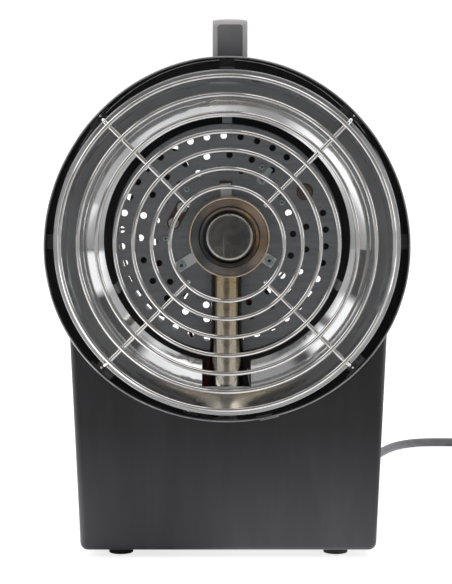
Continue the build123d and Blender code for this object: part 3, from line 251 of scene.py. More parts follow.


def base_black():
    """Black enamel on folded sheet: faint upright wiping streaks, a few smudges, a fine peel, and painted light
    from the floor that lightens it towards the bottom.
    """
    paint = Surface("base_black", (0.022, 0.022, 0.024), roughness=0.36,
                    more={"Coat Weight": 0.3, "Coat Roughness": 0.2})
    streaks = paint.noise(7.0, 7.0, stretch=(9.0, 9.0, 1.3))
    smudges = paint.noise(13.0, 6.0)
    grime = paint.math("MULTIPLY", paint.remap(streaks, 0.40, 0.75), paint.remap(smudges, 0.35, 0.65, 0.2))
    _, _, height = paint.axes()
    # Painted light: lighter towards the bottom, as if lit by the floor's glow, and darker at the top under the
    # drum.
    painted_floor_light = paint.remap(height, painted_light_height, 0.0, 0.0, 0.85)
    # Here dust is the real streaks and smudges plus that painted light from the floor.
    dust = paint.math("ADD", paint.math("MULTIPLY", grime, 0.38), painted_floor_light)
    paint.color(paint.mix(dust, (0.015, 0.0145, 0.017), (0.082, 0.080, 0.093)))
    paint.roughness(smudges, 0.30, 0.44)
    return paint.bump(paint.noise(1100.0, 2.0), 0.00004, 0.4)


def polished_steel():
    """Mirror-polished sheet with spinning lines and the slight waves of thin metal."""
    metal = Surface("polished_steel", (0.78, 0.785, 0.79), metallic=0.84, roughness=0.08)
    grain = metal.lathe_grain(0.0, axis_z, 900.0, 5.0)
    haze = metal.noise(24.0, 4.0)
    metal.color(metal.mix(metal.remap(haze, 0.35, 0.7), (0.82, 0.825, 0.83), (0.66, 0.67, 0.68)))
    metal.roughness(metal.math("ADD", metal.math("MULTIPLY", grain, 0.5), metal.math("MULTIPLY", haze, 0.5)),
                    0.03, 0.10)
    metal.bump(metal.noise(12.0, 2.0), 0.0003, 0.5)
    return metal.bump(grain, 0.00001, 0.35)


def plate_steel():
    """Rolled coated plate, bluish grey, nearly matt, with faint rolling lines and spots."""
    metal = Surface("plate_steel", (0.2, 0.21, 0.22), metallic=0.25, roughness=0.5)
    rolling = metal.noise(30.0, 4.0, stretch=(1.0, 1.0, 9.0), turn=(0.0, radians(38), 0.0))
    spots = metal.noise(420.0, 2.0)
    tone = metal.mix(metal.remap(rolling, 0.35, 0.65), (0.275, 0.287, 0.307), (0.335, 0.347, 0.367))
    metal.color(metal.mix(metal.remap(spots, 0.62, 0.75), tone, (0.21, 0.219, 0.233)))
    metal.roughness(rolling, 0.42, 0.58)
    return metal.bump(metal.noise(260.0, 3.0), 0.00002, 0.4)


def heat_tinted_steel():
    """Steel that has run hot: near-black on one side, bronze on the other, cleaner on its outer wall and ears."""
    metal = Surface("heat_tinted_steel", (0.24, 0.19, 0.15), metallic=0.9, roughness=0.3)
    distance, angle = metal.polar(cap_x, cap_z)
    drift = metal.noise(38.0, 4.0, stretch=(1.0, 1.0, 0.7))
    swing = metal.math("SINE", metal.math("ADD", angle, 0.35))
    warm = metal.remap(metal.math("ADD", metal.math("MULTIPLY", swing, -0.22), drift), 0.62, 0.38)
    face = metal.mix(warm, (0.15, 0.153, 0.16), (0.34, 0.26, 0.195))
    streak = metal.math("MULTIPLY", warm, metal.remap(metal.noise(95.0, 5.0), 0.54, 0.68))
    face = metal.mix(streak, face, (0.50, 0.34, 0.19))
    outside = metal.remap(distance, cup_r - 0.7 * MM, cup_r - 0.2 * MM)
    metal.color(metal.mix(outside, face, (0.88, 0.88, 0.88)))
    metal.roughness(drift, 0.38, 0.26)
    return metal.bump(metal.noise(500.0, 3.0), 0.00002, 0.4)


def rim_gold():
    """The cup's rolled rim, straw-coloured by heat."""
    metal = Surface("rim_gold", (0.9, 0.7, 0.45), metallic=1.0, roughness=0.2)
    drift = metal.noise(60.0, 4.0)
    metal.color(metal.mix(metal.remap(drift, 0.35, 0.65), (0.86, 0.62, 0.36), (0.90, 0.82, 0.70)))
    metal.roughness(drift, 0.14, 0.28)
    return metal.bump(metal.noise(500.0, 2.0), 0.00001, 0.4)


def cap_steel():
    """The emitter's cap: a dark, finely scratched face, and an edge painted bright as a highlight."""
    metal = Surface("cap_steel", (0.12, 0.115, 0.11), metallic=1.0, roughness=0.25)
    distance, _ = metal.polar(cap_x, cap_z)
    soot = metal.noise(70.0, 5.0)
    scratches = metal.noise(190.0, 2.0, stretch=(1.0, 1.0, 0.05), turn=(0.0, radians(-42), 0.0))
    cross = metal.noise(150.0, 2.0, stretch=(1.0, 1.0, 0.05), turn=(0.0, radians(35), 0.0))
    lines = metal.math("MAXIMUM", metal.remap(scratches, 0.70, 0.74), metal.remap(cross, 0.71, 0.75))
    face = metal.mix(metal.remap(soot, 0.35, 0.65), (0.11, 0.107, 0.11), (0.27, 0.25, 0.23))
    face = metal.mix(metal.math("MULTIPLY", lines, 0.6), face, (0.62, 0.58, 0.52))
    # Painted highlight: the cap's outer edge is coloured bright for the light its chamfer catches.
    edge = metal.remap(distance, cap_r * 0.85, cap_r * 0.9)
    metal.color(metal.mix(edge, face, (0.78, 0.75, 0.70)))
    metal.roughness(soot, 0.16, 0.34)
    return metal.bump(lines, 0.00004, 0.4)


heat_reach = 120 * MM       # how far down the stem its heat tint goes, and where it is full
heat_full = 30 * MM


def stem_chrome():
    """Bright tube, straw and brown with heat towards its top, with painted dark reflections down its middle and
    along its sides.
    """
    metal = Surface("stem_chrome", (0.62, 0.61, 0.57), metallic=1.0, roughness=0.2)
    side, _, height = metal.axes()
    across = metal.math("ABSOLUTE", metal.math("DIVIDE", metal.math("SUBTRACT", side, stem_x), stem_r))
    # Painted reflection: coloured dark down the tube's middle and at its sides, where chrome facing the front
    # would reflect dark.
    painted_reflection = metal.math("MULTIPLY", metal.remap(across, 0.10, 0.26, 0.30, 1.0),
                      metal.remap(across, 0.84, 0.56, 0.16, 1.0))
    drift = metal.noise(40.0, 4.0, stretch=(1.0, 1.0, 0.3))
    heat = metal.remap(height, stem_high.z - heat_reach, stem_high.z - heat_full)
    heat = metal.math("MULTIPLY", heat, metal.remap(drift, 0.3, 0.6, 0.45, 1.0))
    tone = metal.mix(heat, (0.97, 0.95, 0.89), (0.80, 0.62, 0.36))
    metal.color(metal.mix(painted_reflection, (0.10, 0.085, 0.07), tone))
    metal.roughness(drift, 0.18, 0.28)
    return metal.bump(metal.noise(700.0, 2.0), 0.000004, 0.3)


def guard_chrome():
    """Warm bright plating on drawn wire, a little dull where it has been hot."""
    metal = Surface("guard_chrome", (0.88, 0.85, 0.81), metallic=1.0, roughness=0.12)
    wear = metal.noise(90.0, 5.0)
    metal.color(metal.mix(metal.remap(wear, 0.45, 0.72), (1.0, 0.98, 0.96), (0.86, 0.82, 0.78)))
    metal.roughness(wear, 0.04, 0.11)
    return metal.bump(metal.noise(700.0, 2.0), 0.000004, 0.3)


def zinc():
    """Blue-passivated zinc on small hardware."""
    metal = Surface("zinc", (0.5, 0.6, 0.62), metallic=1.0, roughness=0.3)
    bloom = metal.noise(420.0, 4.0)
    metal.color(metal.mix(metal.remap(bloom, 0.4, 0.65), (0.42, 0.57, 0.60), (0.66, 0.66, 0.60)))
    metal.roughness(bloom, 0.22, 0.42)
    return metal.bump(bloom, 0.00002, 0.4)


def handle_silver():
    """Metallic silver lacquer."""
    paint = Surface("handle_silver", (0.85, 0.83, 0.83), metallic=0.1, roughness=0.34, more={"Coat Weight": 0.3})
    flakes = paint.noise(2600.0, 1.0)
    paint.color(paint.mix(paint.remap(flakes, 0.35, 0.7), (0.93, 0.89, 0.89), (1.0, 0.97, 0.97)))
    paint.roughness(paint.noise(90.0, 3.0), 0.28, 0.42)
    return paint.bump(flakes, 0.00001, 0.3)


def handle_dark():
    """Dark soft-touch inlay, paler towards the top in patches."""
    skin = Surface("handle_dark", (0.06, 0.06, 0.062), roughness=0.5)
    low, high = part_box("handle_inlays")
    _, _, height = skin.axes()
    patches = skin.remap(skin.noise(60.0, 5.0), 0.3, 0.7, 0.5)
    paler_top = skin.math("MULTIPLY", skin.remap(height, low.z, high.z), patches)
    skin.color(skin.mix(paler_top, (0.23, 0.225, 0.235), (0.46, 0.45, 0.465)))
    skin.roughness(skin.noise(240.0, 3.0), 0.42, 0.62)
    return skin.bump(skin.noise(1500.0, 1.0), 0.00008, 0.5)


def ceramic():
    """Unglazed off-white ceramic with a little soot and fine grain."""
    body = Surface("ceramic", (0.70, 0.68, 0.63), roughness=0.6)
    soot = body.noise(130.0, 5.0)
    body.color(body.mix(body.remap(soot, 0.52, 0.75), (0.74, 0.72, 0.67), (0.33, 0.29, 0.25)))
    body.roughness(soot, 0.5, 0.75)
    return body.bump(body.noise(1800.0, 2.0), 0.00006, 0.6)


def element_wire():
    """Resistance wire under a grey-brown oxide skin."""
    wire = Surface("element_wire", (0.2, 0.17, 0.15), metallic=0.7, roughness=0.55)
    skin = wire.noise(500.0, 4.0)
    wire.color(wire.mix(skin, (0.12, 0.10, 0.09), (0.32, 0.26, 0.22)))
    wire.roughness(skin, 0.4, 0.7)
    return wire.bump(skin, 0.00003, 0.6)


def phenolic():
    """Brown moulded phenolic with pale filler flecks."""
    resin = Surface("phenolic", (0.15, 0.09, 0.065), roughness=0.38)
    flecks = resin.noise(900.0, 3.0)
    resin.color(resin.mix(resin.remap(flecks, 0.55, 0.72), (0.14, 0.085, 0.062), (0.34, 0.25, 0.19)))
    resin.roughness(resin.noise(140.0, 3.0), 0.3, 0.5)
    return resin.bump(flecks, 0.00003, 0.5)


def black_plastic():
    """Moulded black plastic with a spark-eroded grain."""
    resin = Surface("black_plastic", (0.025, 0.025, 0.027), roughness=0.48)
    grain = resin.noise(1700.0, 2.0)
    resin.color(resin.mix(resin.noise(40.0, 3.0), (0.019, 0.019, 0.021), (0.036, 0.036, 0.039)))
    resin.roughness(grain, 0.4, 0.6)
    return resin.bump(grain, 0.0001, 0.5)


def fan_aluminium():
    """Aluminium sheet, brushed one way and long since dulled, with grey dust on it."""
    metal = Surface("fan_aluminium", (0.12, 0.12, 0.12), metallic=0.7, roughness=0.5)
    brushing = metal.noise(40.0, 3.0, stretch=(1.0, 6.0, 18.0), turn=(0.0, radians(20), 0.0))
    dust = metal.noise(30.0, 5.0)
    tone = metal.mix(brushing, (0.10, 0.10, 0.103), (0.15, 0.15, 0.153))
    metal.color(metal.mix(metal.remap(dust, 0.55, 0.75), tone, (0.07, 0.068, 0.066)))
    metal.roughness(brushing, 0.42, 0.58)
    return metal.bump(brushing, 0.00002, 0.4)


def motor_steel():
    """Plain drawn steel can with turning lines."""
    metal = Surface("motor_steel", (0.46, 0.46, 0.47), metallic=1.0, roughness=0.35)
    grain = metal.lathe_grain(0.0, axis_z, 2400.0, 3.0)
    metal.color(metal.mix(metal.remap(metal.noise(50.0, 4.0), 0.5, 0.75), (0.50, 0.50, 0.51), (0.30, 0.27, 0.24)))
    metal.roughness(grain, 0.26, 0.44)
    return metal.bump(grain, 0.00002, 0.4)


def rubber_black():
    """Moulded rubber, dusty in its grain."""
    rubber = Surface("rubber_black", (0.03, 0.03, 0.03), roughness=0.75)
    dust = rubber.noise(160.0, 5.0)
    rubber.color(rubber.mix(rubber.remap(dust, 0.5, 0.75), (0.024, 0.024, 0.025), (0.085, 0.082, 0.078)))
    rubber.roughness(dust, 0.65, 0.85)
    return rubber.bump(rubber.noise(1400.0, 2.0), 0.00008, 0.5)


def cord_rubber():
    """Grey rubber sheath of the mains lead, matt, with faint handling marks."""
    rubber = Surface("cord_rubber", (0.13, 0.13, 0.135), roughness=0.55)
    marks = rubber.noise(120.0, 5.0)
    rubber.color(rubber.mix(rubber.remap(marks, 0.4, 0.7), (0.25, 0.247, 0.262), (0.33, 0.325, 0.34)))
    rubber.roughness(marks, 0.45, 0.65)
    return rubber.bump(rubber.noise(1600.0, 2.0), 0.00006, 0.5)


def pin_brass():
    """Nickel-plated brass, yellow where the plating has rubbed."""
    metal = Surface("pin_brass", (0.74, 0.70, 0.60), metallic=1.0, roughness=0.2)
    rubbed = metal.noise(260.0, 4.0)
    metal.color(metal.mix(metal.remap(rubbed, 0.5, 0.66), (0.74, 0.73, 0.70), (0.72, 0.56, 0.30)))
    metal.roughness(rubbed, 0.14, 0.3)
    return metal.bump(rubbed, 0.00001, 0.4)


def red_insulation():
    """Silicone sleeving on a coarse glass braid."""
    sleeve = Surface("red_insulation", (0.4, 0.03, 0.03), roughness=0.6)
    braid = sleeve.noise(1500.0, 1.0)
    sleeve.color(sleeve.mix(braid, (0.10, 0.010, 0.010), (0.24, 0.026, 0.024)))
    sleeve.roughness(braid, 0.5, 0.7)
    return sleeve.bump(braid, 0.0001, 0.6)


def bare_edge_and_highlight():
    """The drum's cut edge: bare metal through the paint here and there, and coloured light overall as a painted
    highlight where the edge catches light.
    """
    metal = Surface("bare_edge_and_highlight", (0.5, 0.5, 0.51), metallic=0.2, roughness=0.34)
    rubbed = metal.noise(38.0, 5.0)
    # Partly a painted highlight: both tones are lighter than the drum's paint, for the light line along the edge.
    metal.color(metal.mix(metal.remap(rubbed, 0.35, 0.65), (0.34, 0.34, 0.35), (0.66, 0.66, 0.67)))
    metal.roughness(rubbed, 0.42, 0.26)
    return metal.bump(metal.noise(600.0, 2.0), 0.00003, 0.4)


def mark_white():
    """White marks printed or inlaid on the controls, slightly worn."""
    ink = Surface("mark_white", (0.75, 0.75, 0.74), roughness=0.45)
    wear = ink.noise(700.0, 4.0)
    ink.color(ink.mix(ink.remap(wear, 0.55, 0.75), (0.78, 0.78, 0.77), (0.45, 0.45, 0.45)))
    ink.roughness(wear, 0.4, 0.6)
    return ink


finishes = (
    drum_black, base_black, polished_steel, plate_steel, heat_tinted_steel, rim_gold, cap_steel, stem_chrome,
    guard_chrome, zinc, handle_silver, handle_dark, ceramic, element_wire, phenolic, black_plastic,
    fan_aluminium, motor_steel, rubber_black, cord_rubber, pin_brass, red_insulation, bare_edge_and_highlight, mark_white,
)
for plain in list(bpy.data.materials):
    bpy.data.materials.remove(plain)
materials = {finish.__name__: finish().material for finish in finishes}

node_finish = {"emitter_cap": "cap_steel", "plate_brackets": "plate_steel", "front_screws": "drum_black"}


def dress_nodes():
    """Every CAD node takes the material of its slot, apart from the few with a finish of their own."""
    for part in frame["record"]["subparts"]:
        node = frame["nodes"][part["node"]]
        finish_name = node_finish.get(part["node"], part["material_slot"])
        node.data.materials.clear()
        node.data.materials.append(materials[finish_name])


dress_nodes()


# ---------------------------------------------------------------- making pieces
def settle(piece, slot, finish=None, body="heater"):
    """Links a new piece, gives it its finish, or else the material of its slot, and lets it ride on its body."""
    scene.collection.objects.link(piece)
    piece.data.materials.append(materials[finish or slot])
    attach(piece, body)
    return piece


def wire_piece(name, paths, radius, slot, cyclic=False, finish=None, body="heater", sides=3, spline="POLY"):
    """Round wire along one or more lists of points."""
    curve = bpy.data.curves.new(name, "CURVE")
    curve.dimensions = "3D"
    curve.bevel_depth = radius
    curve.bevel_resolution = sides
    curve.use_fill_caps = not cyclic
    for path in paths:
        line = curve.splines.new(spline)
        line.points.add(len(path) - 1)
        for point, place in zip(line.points, path):
            point.co = (*place, 1.0)
        if spline == "NURBS":
            line.order_u = 3
            line.use_endpoint_u = not cyclic
        line.use_cyclic_u = cyclic
    return settle(bpy.data.objects.new(name, curve), slot, finish, body)


def mesh_piece(name, vertices, faces, slot, finish=None, body="heater", smooth=True):
    mesh = bpy.data.meshes.new(name)
    mesh.from_pydata([tuple(point) for point in vertices], [], faces)
    mesh.validate()
    mesh.polygons.foreach_set("use_smooth", [smooth] * len(mesh.polygons))
    return settle(bpy.data.objects.new(name, mesh), slot, finish, body)


def grid_faces(rows, columns, first=0, closed_rows=False, closed_columns=True):
    """Quads over a grid of points that is stored row after row."""
    faces = []
    for row in range(rows if closed_rows else rows - 1):
        for column in range(columns if closed_columns else columns - 1):
            after_row = (row + 1) % rows
            after_column = (column + 1) % columns
            faces.append((
                first + row * columns + column,
                first + row * columns + after_column,
                first + after_row * columns + after_column,
                first + after_row * columns + column,
            ))
    return faces


def ring_path(radius, y, centre=(0.0, None), steps=96):
    return [on_clock(radius, index * 360 / steps, y, centre) for index in range(steps)]


def weld_bead(vertices, faces, middle, size, rng_place, rows=6, columns=8):
    """Adds a small uneven bead of weld, longer along the X of its size triple."""
    first = len(vertices)
    for row in range(rows + 1):
        tilt = pi * row / rows
        for column in range(columns):
            turn = 2 * pi * column / columns
            out = Vector((sin(tilt) * cos(turn), sin(tilt) * sin(turn), cos(tilt)))
            swell = 1.0 + 0.22 * noise.noise(out * 1.7 + rng_place)
            vertices.append(middle + Vector(out[axis] * size[axis] * swell for axis in range(3)))
    faces.extend(grid_faces(rows + 1, columns, first))


# ---------------------------------------------------------------- mains lead
cord_d = 8.8 * MM
cord_exit = (0.105, 0.100, 0.040)
cord_route = (
    cord_exit,
    (0.1050, 0.1280, 0.0400),
    (0.1060, 0.1580, 0.0330),
    (0.1090, 0.1900, 0.0190),
    (0.1160, 0.2300, 0.0054),
    (0.1285, 0.2760, 0.0044),
    (0.1460, 0.3260, 0.0044),
    (0.1670, 0.3800, 0.0044),
    (0.1840, 0.4090, 0.0044),
    (0.2090, 0.4255, 0.0044),
    (0.2460, 0.4250, 0.0044),
    (0.2843, 0.4234, 0.0044),
)
coil_middle = (0.307, 0.367)
coil_inner = 47.6 * MM
coil_outer = coil_inner + cord_d
coil_turns = 3.25
coil_steps = 16             # control points a turn
coil_tucks_in = (0.75, 1.0)     # in turns from the start: where the cord moves to the inner radius,
coil_climbs = (1.5, 1.75)       # up to the second layer,
coil_tucks_out = (2.25, 2.5)    # and out to the outer radius again
tie_angle = 200
tail_route = (
    (0.3634, 0.3443, 0.0132),
    (0.3634, 0.3313, 0.0144),
    (0.3634, 0.3150, 0.0177),
    (0.3634, 0.3090, 0.0180),
)


def eased(value, start, end):
    """0 before the start, 1 after the end, and a smooth step between."""
    step = min(max((value - start) / (end - start), 0.0), 1.0)
    return step * step * (3 - 2 * step)


def coil_points():
    """Clockwise from the coil's far side: a wide turn, a tight one, a tight one on it, a wide one on top."""
    outside = 1 / cos(pi / coil_steps)      # how far out a control point lies for the curve to touch the turn
    points = []
    for index in range(int(coil_turns * coil_steps)):
        turn = (index + 0.5) / coil_steps
        tuck = eased(turn, *coil_tucks_in) - eased(turn, *coil_tucks_out)
        radius = (coil_outer - cord_d * tuck) * outside
        angle = pi / 2 - 2 * pi * turn
        height = cord_d / 2 + cord_d * eased(turn, *coil_climbs)
        points.append((coil_middle[0] + radius * cos(angle), coil_middle[1] + radius * sin(angle), height))
    return points


def make_cord():
    route = [*cord_route, *coil_points(), *tail_route]
    # The bevel is 1 and the points carry the radius, as the curve's own bounds reach out by that.
    cord = wire_piece("mains_lead", [route], 1.0, "cord_rubber", sides=5, spline="NURBS")
    for point in cord.data.splines[0].points:
        point.radius = cord_d / 2
    cord.data.splines[0].resolution_u = 6
    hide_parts("power_cord", "cord_coil", "cord_tail")
    return cord


def make_coil_tie():
    """A strap round the coil's four runs."""
    turn_to_tie = radians(tie_angle)
    outward = Vector((cos(turn_to_tie), sin(turn_to_tie), 0))
    along = Vector((-outward.y, outward.x, 0))
    middle = Vector((*coil_middle, cord_d)) + outward * (coil_inner + coil_outer) / 2
    half_width, strap, reach = 3.2 * MM, 0.45 * MM, cord_d - 0.3 * MM
    corner = cord_d / 2
    corner_steps = 6
    outline = []
    for side, rise, first_turn in ((1, 1, 0), (-1, 1, pi / 2), (-1, -1, pi), (1, -1, 3 * pi / 2)):
        corner_middle = Vector((side * (reach - corner), rise * (reach - corner)))
        for step in range(corner_steps + 1):
            turn = first_turn + pi / 2 * step / corner_steps
            normal = Vector((cos(turn), sin(turn)))
            outline.append((corner_middle + normal * corner, normal))
    vertices = []
    for flat, normal in outline:
        for width, lift in ((-half_width, 0), (half_width, 0), (half_width, strap), (-half_width, strap)):
            place = flat + normal * lift
            vertices.append(middle + outward * place.x + Vector((0, 0, place.y)) + along * width)
    return mesh_piece("coil_tie", vertices, grid_faces(len(outline), 4, closed_rows=True), "black_plastic")


cord_piece = make_cord()
tie_piece = make_coil_tie()


# ---------------------------------------------------------------- stage and light
# Lit strips of the floor in front of the object: where each starts and ends in X, and its radiance.
floor_strips = (
    (-1.30, -0.135, 1.00),
    (-0.015, 0.210, 0.50),
    (0.70, 1.60, 0.90),
)
strip_fade = 0.03
strip_base = 0.03           # radiance between the strips
strips_near = (-0.42, -0.24)    # in Y: where the even far floor gives way to the strips
far_radiance = 0.16
lamp_reach = (-1.3, -0.4)       # in Y: the floor's own light grows from a tenth to the whole
shade_reach = (-0.6, -0.2)      # in Y: the paper seen in the object grows from 0.6 of its white
floor_size = 14.0
floor_white = (0.86, 0.86, 0.86)
floor_glow = 0.78           # lifts the paper to plain white for the camera


def make_floor():
    """Pale paper. What it gives back to the object differs from strip to strip, like a table among panels."""
    mesh = bpy.data.meshes.new("floor")
    corners = [(floor_size * x, floor_size * y, 0) for x, y in ((-1, -1), (1, -1), (1, 1), (-1, 1))]
    mesh.from_pydata(corners, [], [(0, 1, 2, 3)])
    floor = bpy.data.objects.new("floor", mesh)
    scene.collection.objects.link(floor)
    paper = Surface("floor_paper", floor_white, roughness=0.85)
    side, depth, _ = paper.axes()
    lit = strip_base
    for start, end, radiance in floor_strips:
        strip = paper.math(
            "MULTIPLY",
            paper.remap(side, start - strip_fade, start + strip_fade),
            paper.remap(side, end + strip_fade, end - strip_fade),
        )
        lit = paper.math("ADD", lit, paper.math("MULTIPLY", strip, radiance))
    close = paper.remap(depth, *strips_near)
    lit = paper.math("ADD", paper.math("MULTIPLY", lit, close),
                     paper.math("MULTIPLY", paper.math("SUBTRACT", 1.0, close), far_radiance))
    lit = paper.math("MULTIPLY", lit, paper.remap(depth, *lamp_reach, 0.1, 1.0))
    seen = paper.add("ShaderNodeLightPath").outputs["Is Camera Ray"]
    tone = paper.math("MAXIMUM", seen, paper.remap(depth, *shade_reach, 0.6, 1.0))
    paper.color(paper.mix(tone, (0.0, 0.0, 0.0), floor_white))
    glow = paper.math("MULTIPLY", lit, paper.math("SUBTRACT", 1.0, seen))
    paper.feed(paper.shader.inputs["Emission Color"], white)
    paper.feed(paper.shader.inputs["Emission Strength"],
               paper.math("ADD", glow, paper.math("MULTIPLY", seen, floor_glow)))
    mesh.materials.append(paper.material)


# The tent's bright panels, by direction: middle and half width on the clock round the drum's axis, the
# widths over which the two sides fade, radiance, and the angles off the axis between which it is lit.
panels = (
    (234.0, 20.0, 6.0, 4.0, 1.35, 60.0, 96.0),
    (305.5, 14.0, 6.0, 8.0, 1.40, 60.0, 96.0),
    (344.0, 15.0, 6.0, 8.0, 0.30, 60.0, 96.0),
    (23.5, 16.0, 4.0, 8.0, 1.10, 58.0, 96.0),
    (81.0, 9.0, 5.0, 2.0, 1.25, 60.0, 98.0),
    (101.0, 9.0, 2.0, 6.0, 1.30, 58.0, 98.0),
    (162.5, 19.0, 6.0, 8.0, 1.35, 58.0, 98.0),
)
room_front = 0.115          # radiance straight ahead of the object
room_side = 0.045           # between the panels
room_ring = 0.47            # the tent's mouth, between front and panels
room_back = 1.0             # the white sheet behind the object
room_brightest = 1.4
# Angles off the axis, in degrees, over which each of these fades in or out.
ring_starts, ring_ends = (46.0, 58.0), (72.0, 62.0)
front_fades = (60.0, 20.0)
back_starts = (96.0, 112.0)
panel_edge = (5.0, 6.0)     # half the fade at a panel's near and far edge


class Sky(Shading):
    """The world's shader: what light comes from each direction."""

    def __init__(self):
        self.world = bpy.data.worlds.new("studio")
        self.world.use_nodes = True
        self.tree = self.world.node_tree
        direction = self.add("ShaderNodeTexCoord").outputs["Generated"]
        axes = self.add("ShaderNodeSeparateXYZ")
        self.feed(axes.inputs[0], direction)
        side, depth, rise = axes.outputs
        self.off_axis = self.degrees(self.math("ARCCOSINE", self.math("MULTIPLY", depth, -1.0)))
        self.clock = self.degrees(self.math("ARCTAN2", side, rise))

    def degrees(self, value):
        return self.math("MULTIPLY", value, 180 / pi)

    def fade(self, value, start, end):
        """0 at the start and 1 at the end, either way round, with a smooth step between."""
        low, high, first, last = (start, end, 0.0, 1.0) if start < end else (end, start, 1.0, 0.0)
        step = self.add("ShaderNodeMapRange", interpolation_type="SMOOTHSTEP")
        for socket, given in zip(step.inputs, (value, low, high, first, last)):
            self.feed(socket, given)
        return step.outputs["Result"]

    def panel(self, middle, half, fade_before, fade_after, radiance, nearest, farthest):
        """One lit panel. The clock is turned so that the panel's middle is at zero."""
        turned = self.math("SUBTRACT", self.clock, middle - 360.0 if middle > 180 else middle)
        wrap = self.add("ShaderNodeMath", operation="WRAP")
        for socket, given in zip(wrap.inputs, (turned, 180.0, -180.0)):
            self.feed(socket, given)
        turned = wrap.outputs[0]
        lit = self.fade(turned, -half - fade_before / 2, -half + fade_before / 2)
        lit = self.math("MULTIPLY", lit, self.fade(turned, half + fade_after / 2, half - fade_after / 2))
        near_edge, far_edge = panel_edge
        lit = self.math("MULTIPLY", lit, self.fade(self.off_axis, nearest - near_edge, nearest + near_edge))
        lit = self.math("MULTIPLY", lit, self.fade(self.off_axis, farthest + far_edge, farthest - far_edge))
        return self.math("MULTIPLY", lit, radiance)


def make_world():
    """For light a tent: dim in front, panels at the sides and white behind. For the camera plain white."""
    sky = Sky()
    ring = sky.math("MULTIPLY", sky.fade(sky.off_axis, *ring_starts), sky.fade(sky.off_axis, *ring_ends))
    total = sky.math("MULTIPLY", ring, room_ring)
    for panel in panels:
        total = sky.math("ADD", total, sky.panel(*panel))
    ahead = sky.math("MULTIPLY", sky.fade(sky.off_axis, *front_fades), room_front - room_side)
    total = sky.math("ADD", sky.math("ADD", total, ahead), room_side)
    behind = sky.math("MULTIPLY", sky.fade(sky.off_axis, *back_starts), room_back)
    total = sky.math("MINIMUM", sky.math("ADD", total, behind), room_brightest)
    seen = sky.add("ShaderNodeLightPath").outputs["Is Camera Ray"]
    background = sky.tree.nodes["Background"]
    background.inputs["Color"].default_value = white
    sky.feed(background.inputs["Strength"], sky.math("MAXIMUM", total, seen))
    scene.world = sky.world
    scene.view_settings.view_transform = "Standard"


make_floor()
make_world()


# ---------------------------------------------------------------- drum
def make_drum_hem():
    """The rounded front edge of the drum's sheet, a hair thicker than the sheet."""
    steps, rows = 180, 9
    edge_r = drum_wall / 2 + 0.08 * MM
    overhang, start_y = 1.1 * MM, drum_front + 0.3 * MM
    vertices = []
    for index in range(steps):
        angle = index * 360 / steps
        middle_r = drum_radius(angle) - drum_wall / 2
        for row in range(rows):
            turn = pi * row / (rows - 1)
            vertices.append(on_clock(middle_r + cos(turn) * edge_r, angle, start_y - sin(turn) * overhang))
    faces = grid_faces(steps, rows, closed_rows=True)
    return mesh_piece("drum_hem", vertices, faces, "drum_black", "bare_edge_and_highlight")


def make_lap_seam():
    """The outer end of the rolled sheet, where it laps over itself in front of the base."""
    steps = 10
    before, width = 4.5, 6.0        # clock degrees: where the lap starts before the seam, and its width
    thickness = 0.9 * MM
    front, rear = drum_front - thickness, base_front - 0.4 * MM
    rows = ((0.0, front), (thickness, front), (thickness, rear), (0.0, rear))
    vertices = []
    for index in range(steps + 1):
        angle = seam_angle - before + width * index / steps
        for lift, y in rows:
            vertices.append(on_clock(drum_radius(angle) + lift, angle, y))
    faces = grid_faces(steps + 1, len(rows))
    faces += [(0, 1, 2, 3), tuple(steps * 4 + corner for corner in (3, 2, 1, 0))]
    seam = mesh_piece("lap_seam", vertices, faces, "drum_black", "bare_edge_and_highlight", smooth=False)
    edge = seam.modifiers.new("soft_edges", "BEVEL")
    edge.width = 0.2 * MM
    edge.segments = 2
    return seam


def make_rivets():
    """Domed rivets that hold the guard's clips, and two on the bowl's lowest bracket."""
    vertices, faces = [], []
    head_r, head_height = 1.15 * MM, 0.8 * MM
    clip_y, bracket_y = drum_front + 0.9 * MM, drum_front + 6.9 * MM
    places = [(144.2 * MM, angle, clip_y) for angle in spoke_angles]
    places += [(142.6 * MM, 192.8, bracket_y), (141.2 * MM, 190.6, bracket_y)]
    rows, columns = 4, 16
    for radius, angle, y in places:
        middle = on_clock(radius, angle, y)
        first = len(vertices)
        for row in range(rows + 1):
            tilt = pi / 2 * row / rows
            for column in range(columns):
                turn = 2 * pi * column / columns
                flat = head_r * sin(tilt)
                vertices.append(middle + Vector((flat * cos(turn), -head_height * cos(tilt), flat * sin(turn))))
        faces += grid_faces(rows + 1, columns, first)
    mesh_piece("clip_rivets", vertices, faces, "zinc", "guard_chrome")


make_drum_hem()
make_lap_seam()
make_rivets()


# ---------------------------------------------------------------- reflector bowl
def bowl_wall(share, lift=0.0):
    """Radius and depth of a point on the bowl's bright side, from its mouth (0) to its inner edge (1)."""
    slope = bowl_angle_front + share * (bowl_angle_rear - bowl_angle_front)
    centre_y = bowl_front - bowl_arc_r * sin(bowl_angle_front)
    centre_r = bowl_mouth_r - bowl_arc_r * cos(bowl_angle_front)
    reach = bowl_arc_r - lift
    return centre_r + reach * cos(slope), centre_y + reach * sin(slope)


def make_bowl_trim():
    """The flange's turned edge and the sheet's two seams."""
    wire_piece("flange_edge", [ring_path(flange_r - 0.45 * MM, bowl_front + 0.1 * MM, steps=180)], 0.5 * MM,
               "polished_steel", cyclic=True)
    seams = []
    steps, wander = 8, 0.12
    for angle, start, end in ((190.5, 0.08, 0.50), (171.0, 0.42, 0.86)):
        path = []
        for step in range(steps + 1):
            radius, y = bowl_wall(start + (end - start) * step / steps, 0.1 * MM)
            path.append(on_clock(radius, angle + wander * sin(step * 2.1), y))
        seams.append(path)
    wire_piece("bowl_seams", seams, 0.28 * MM, "polished_steel")


make_bowl_trim()


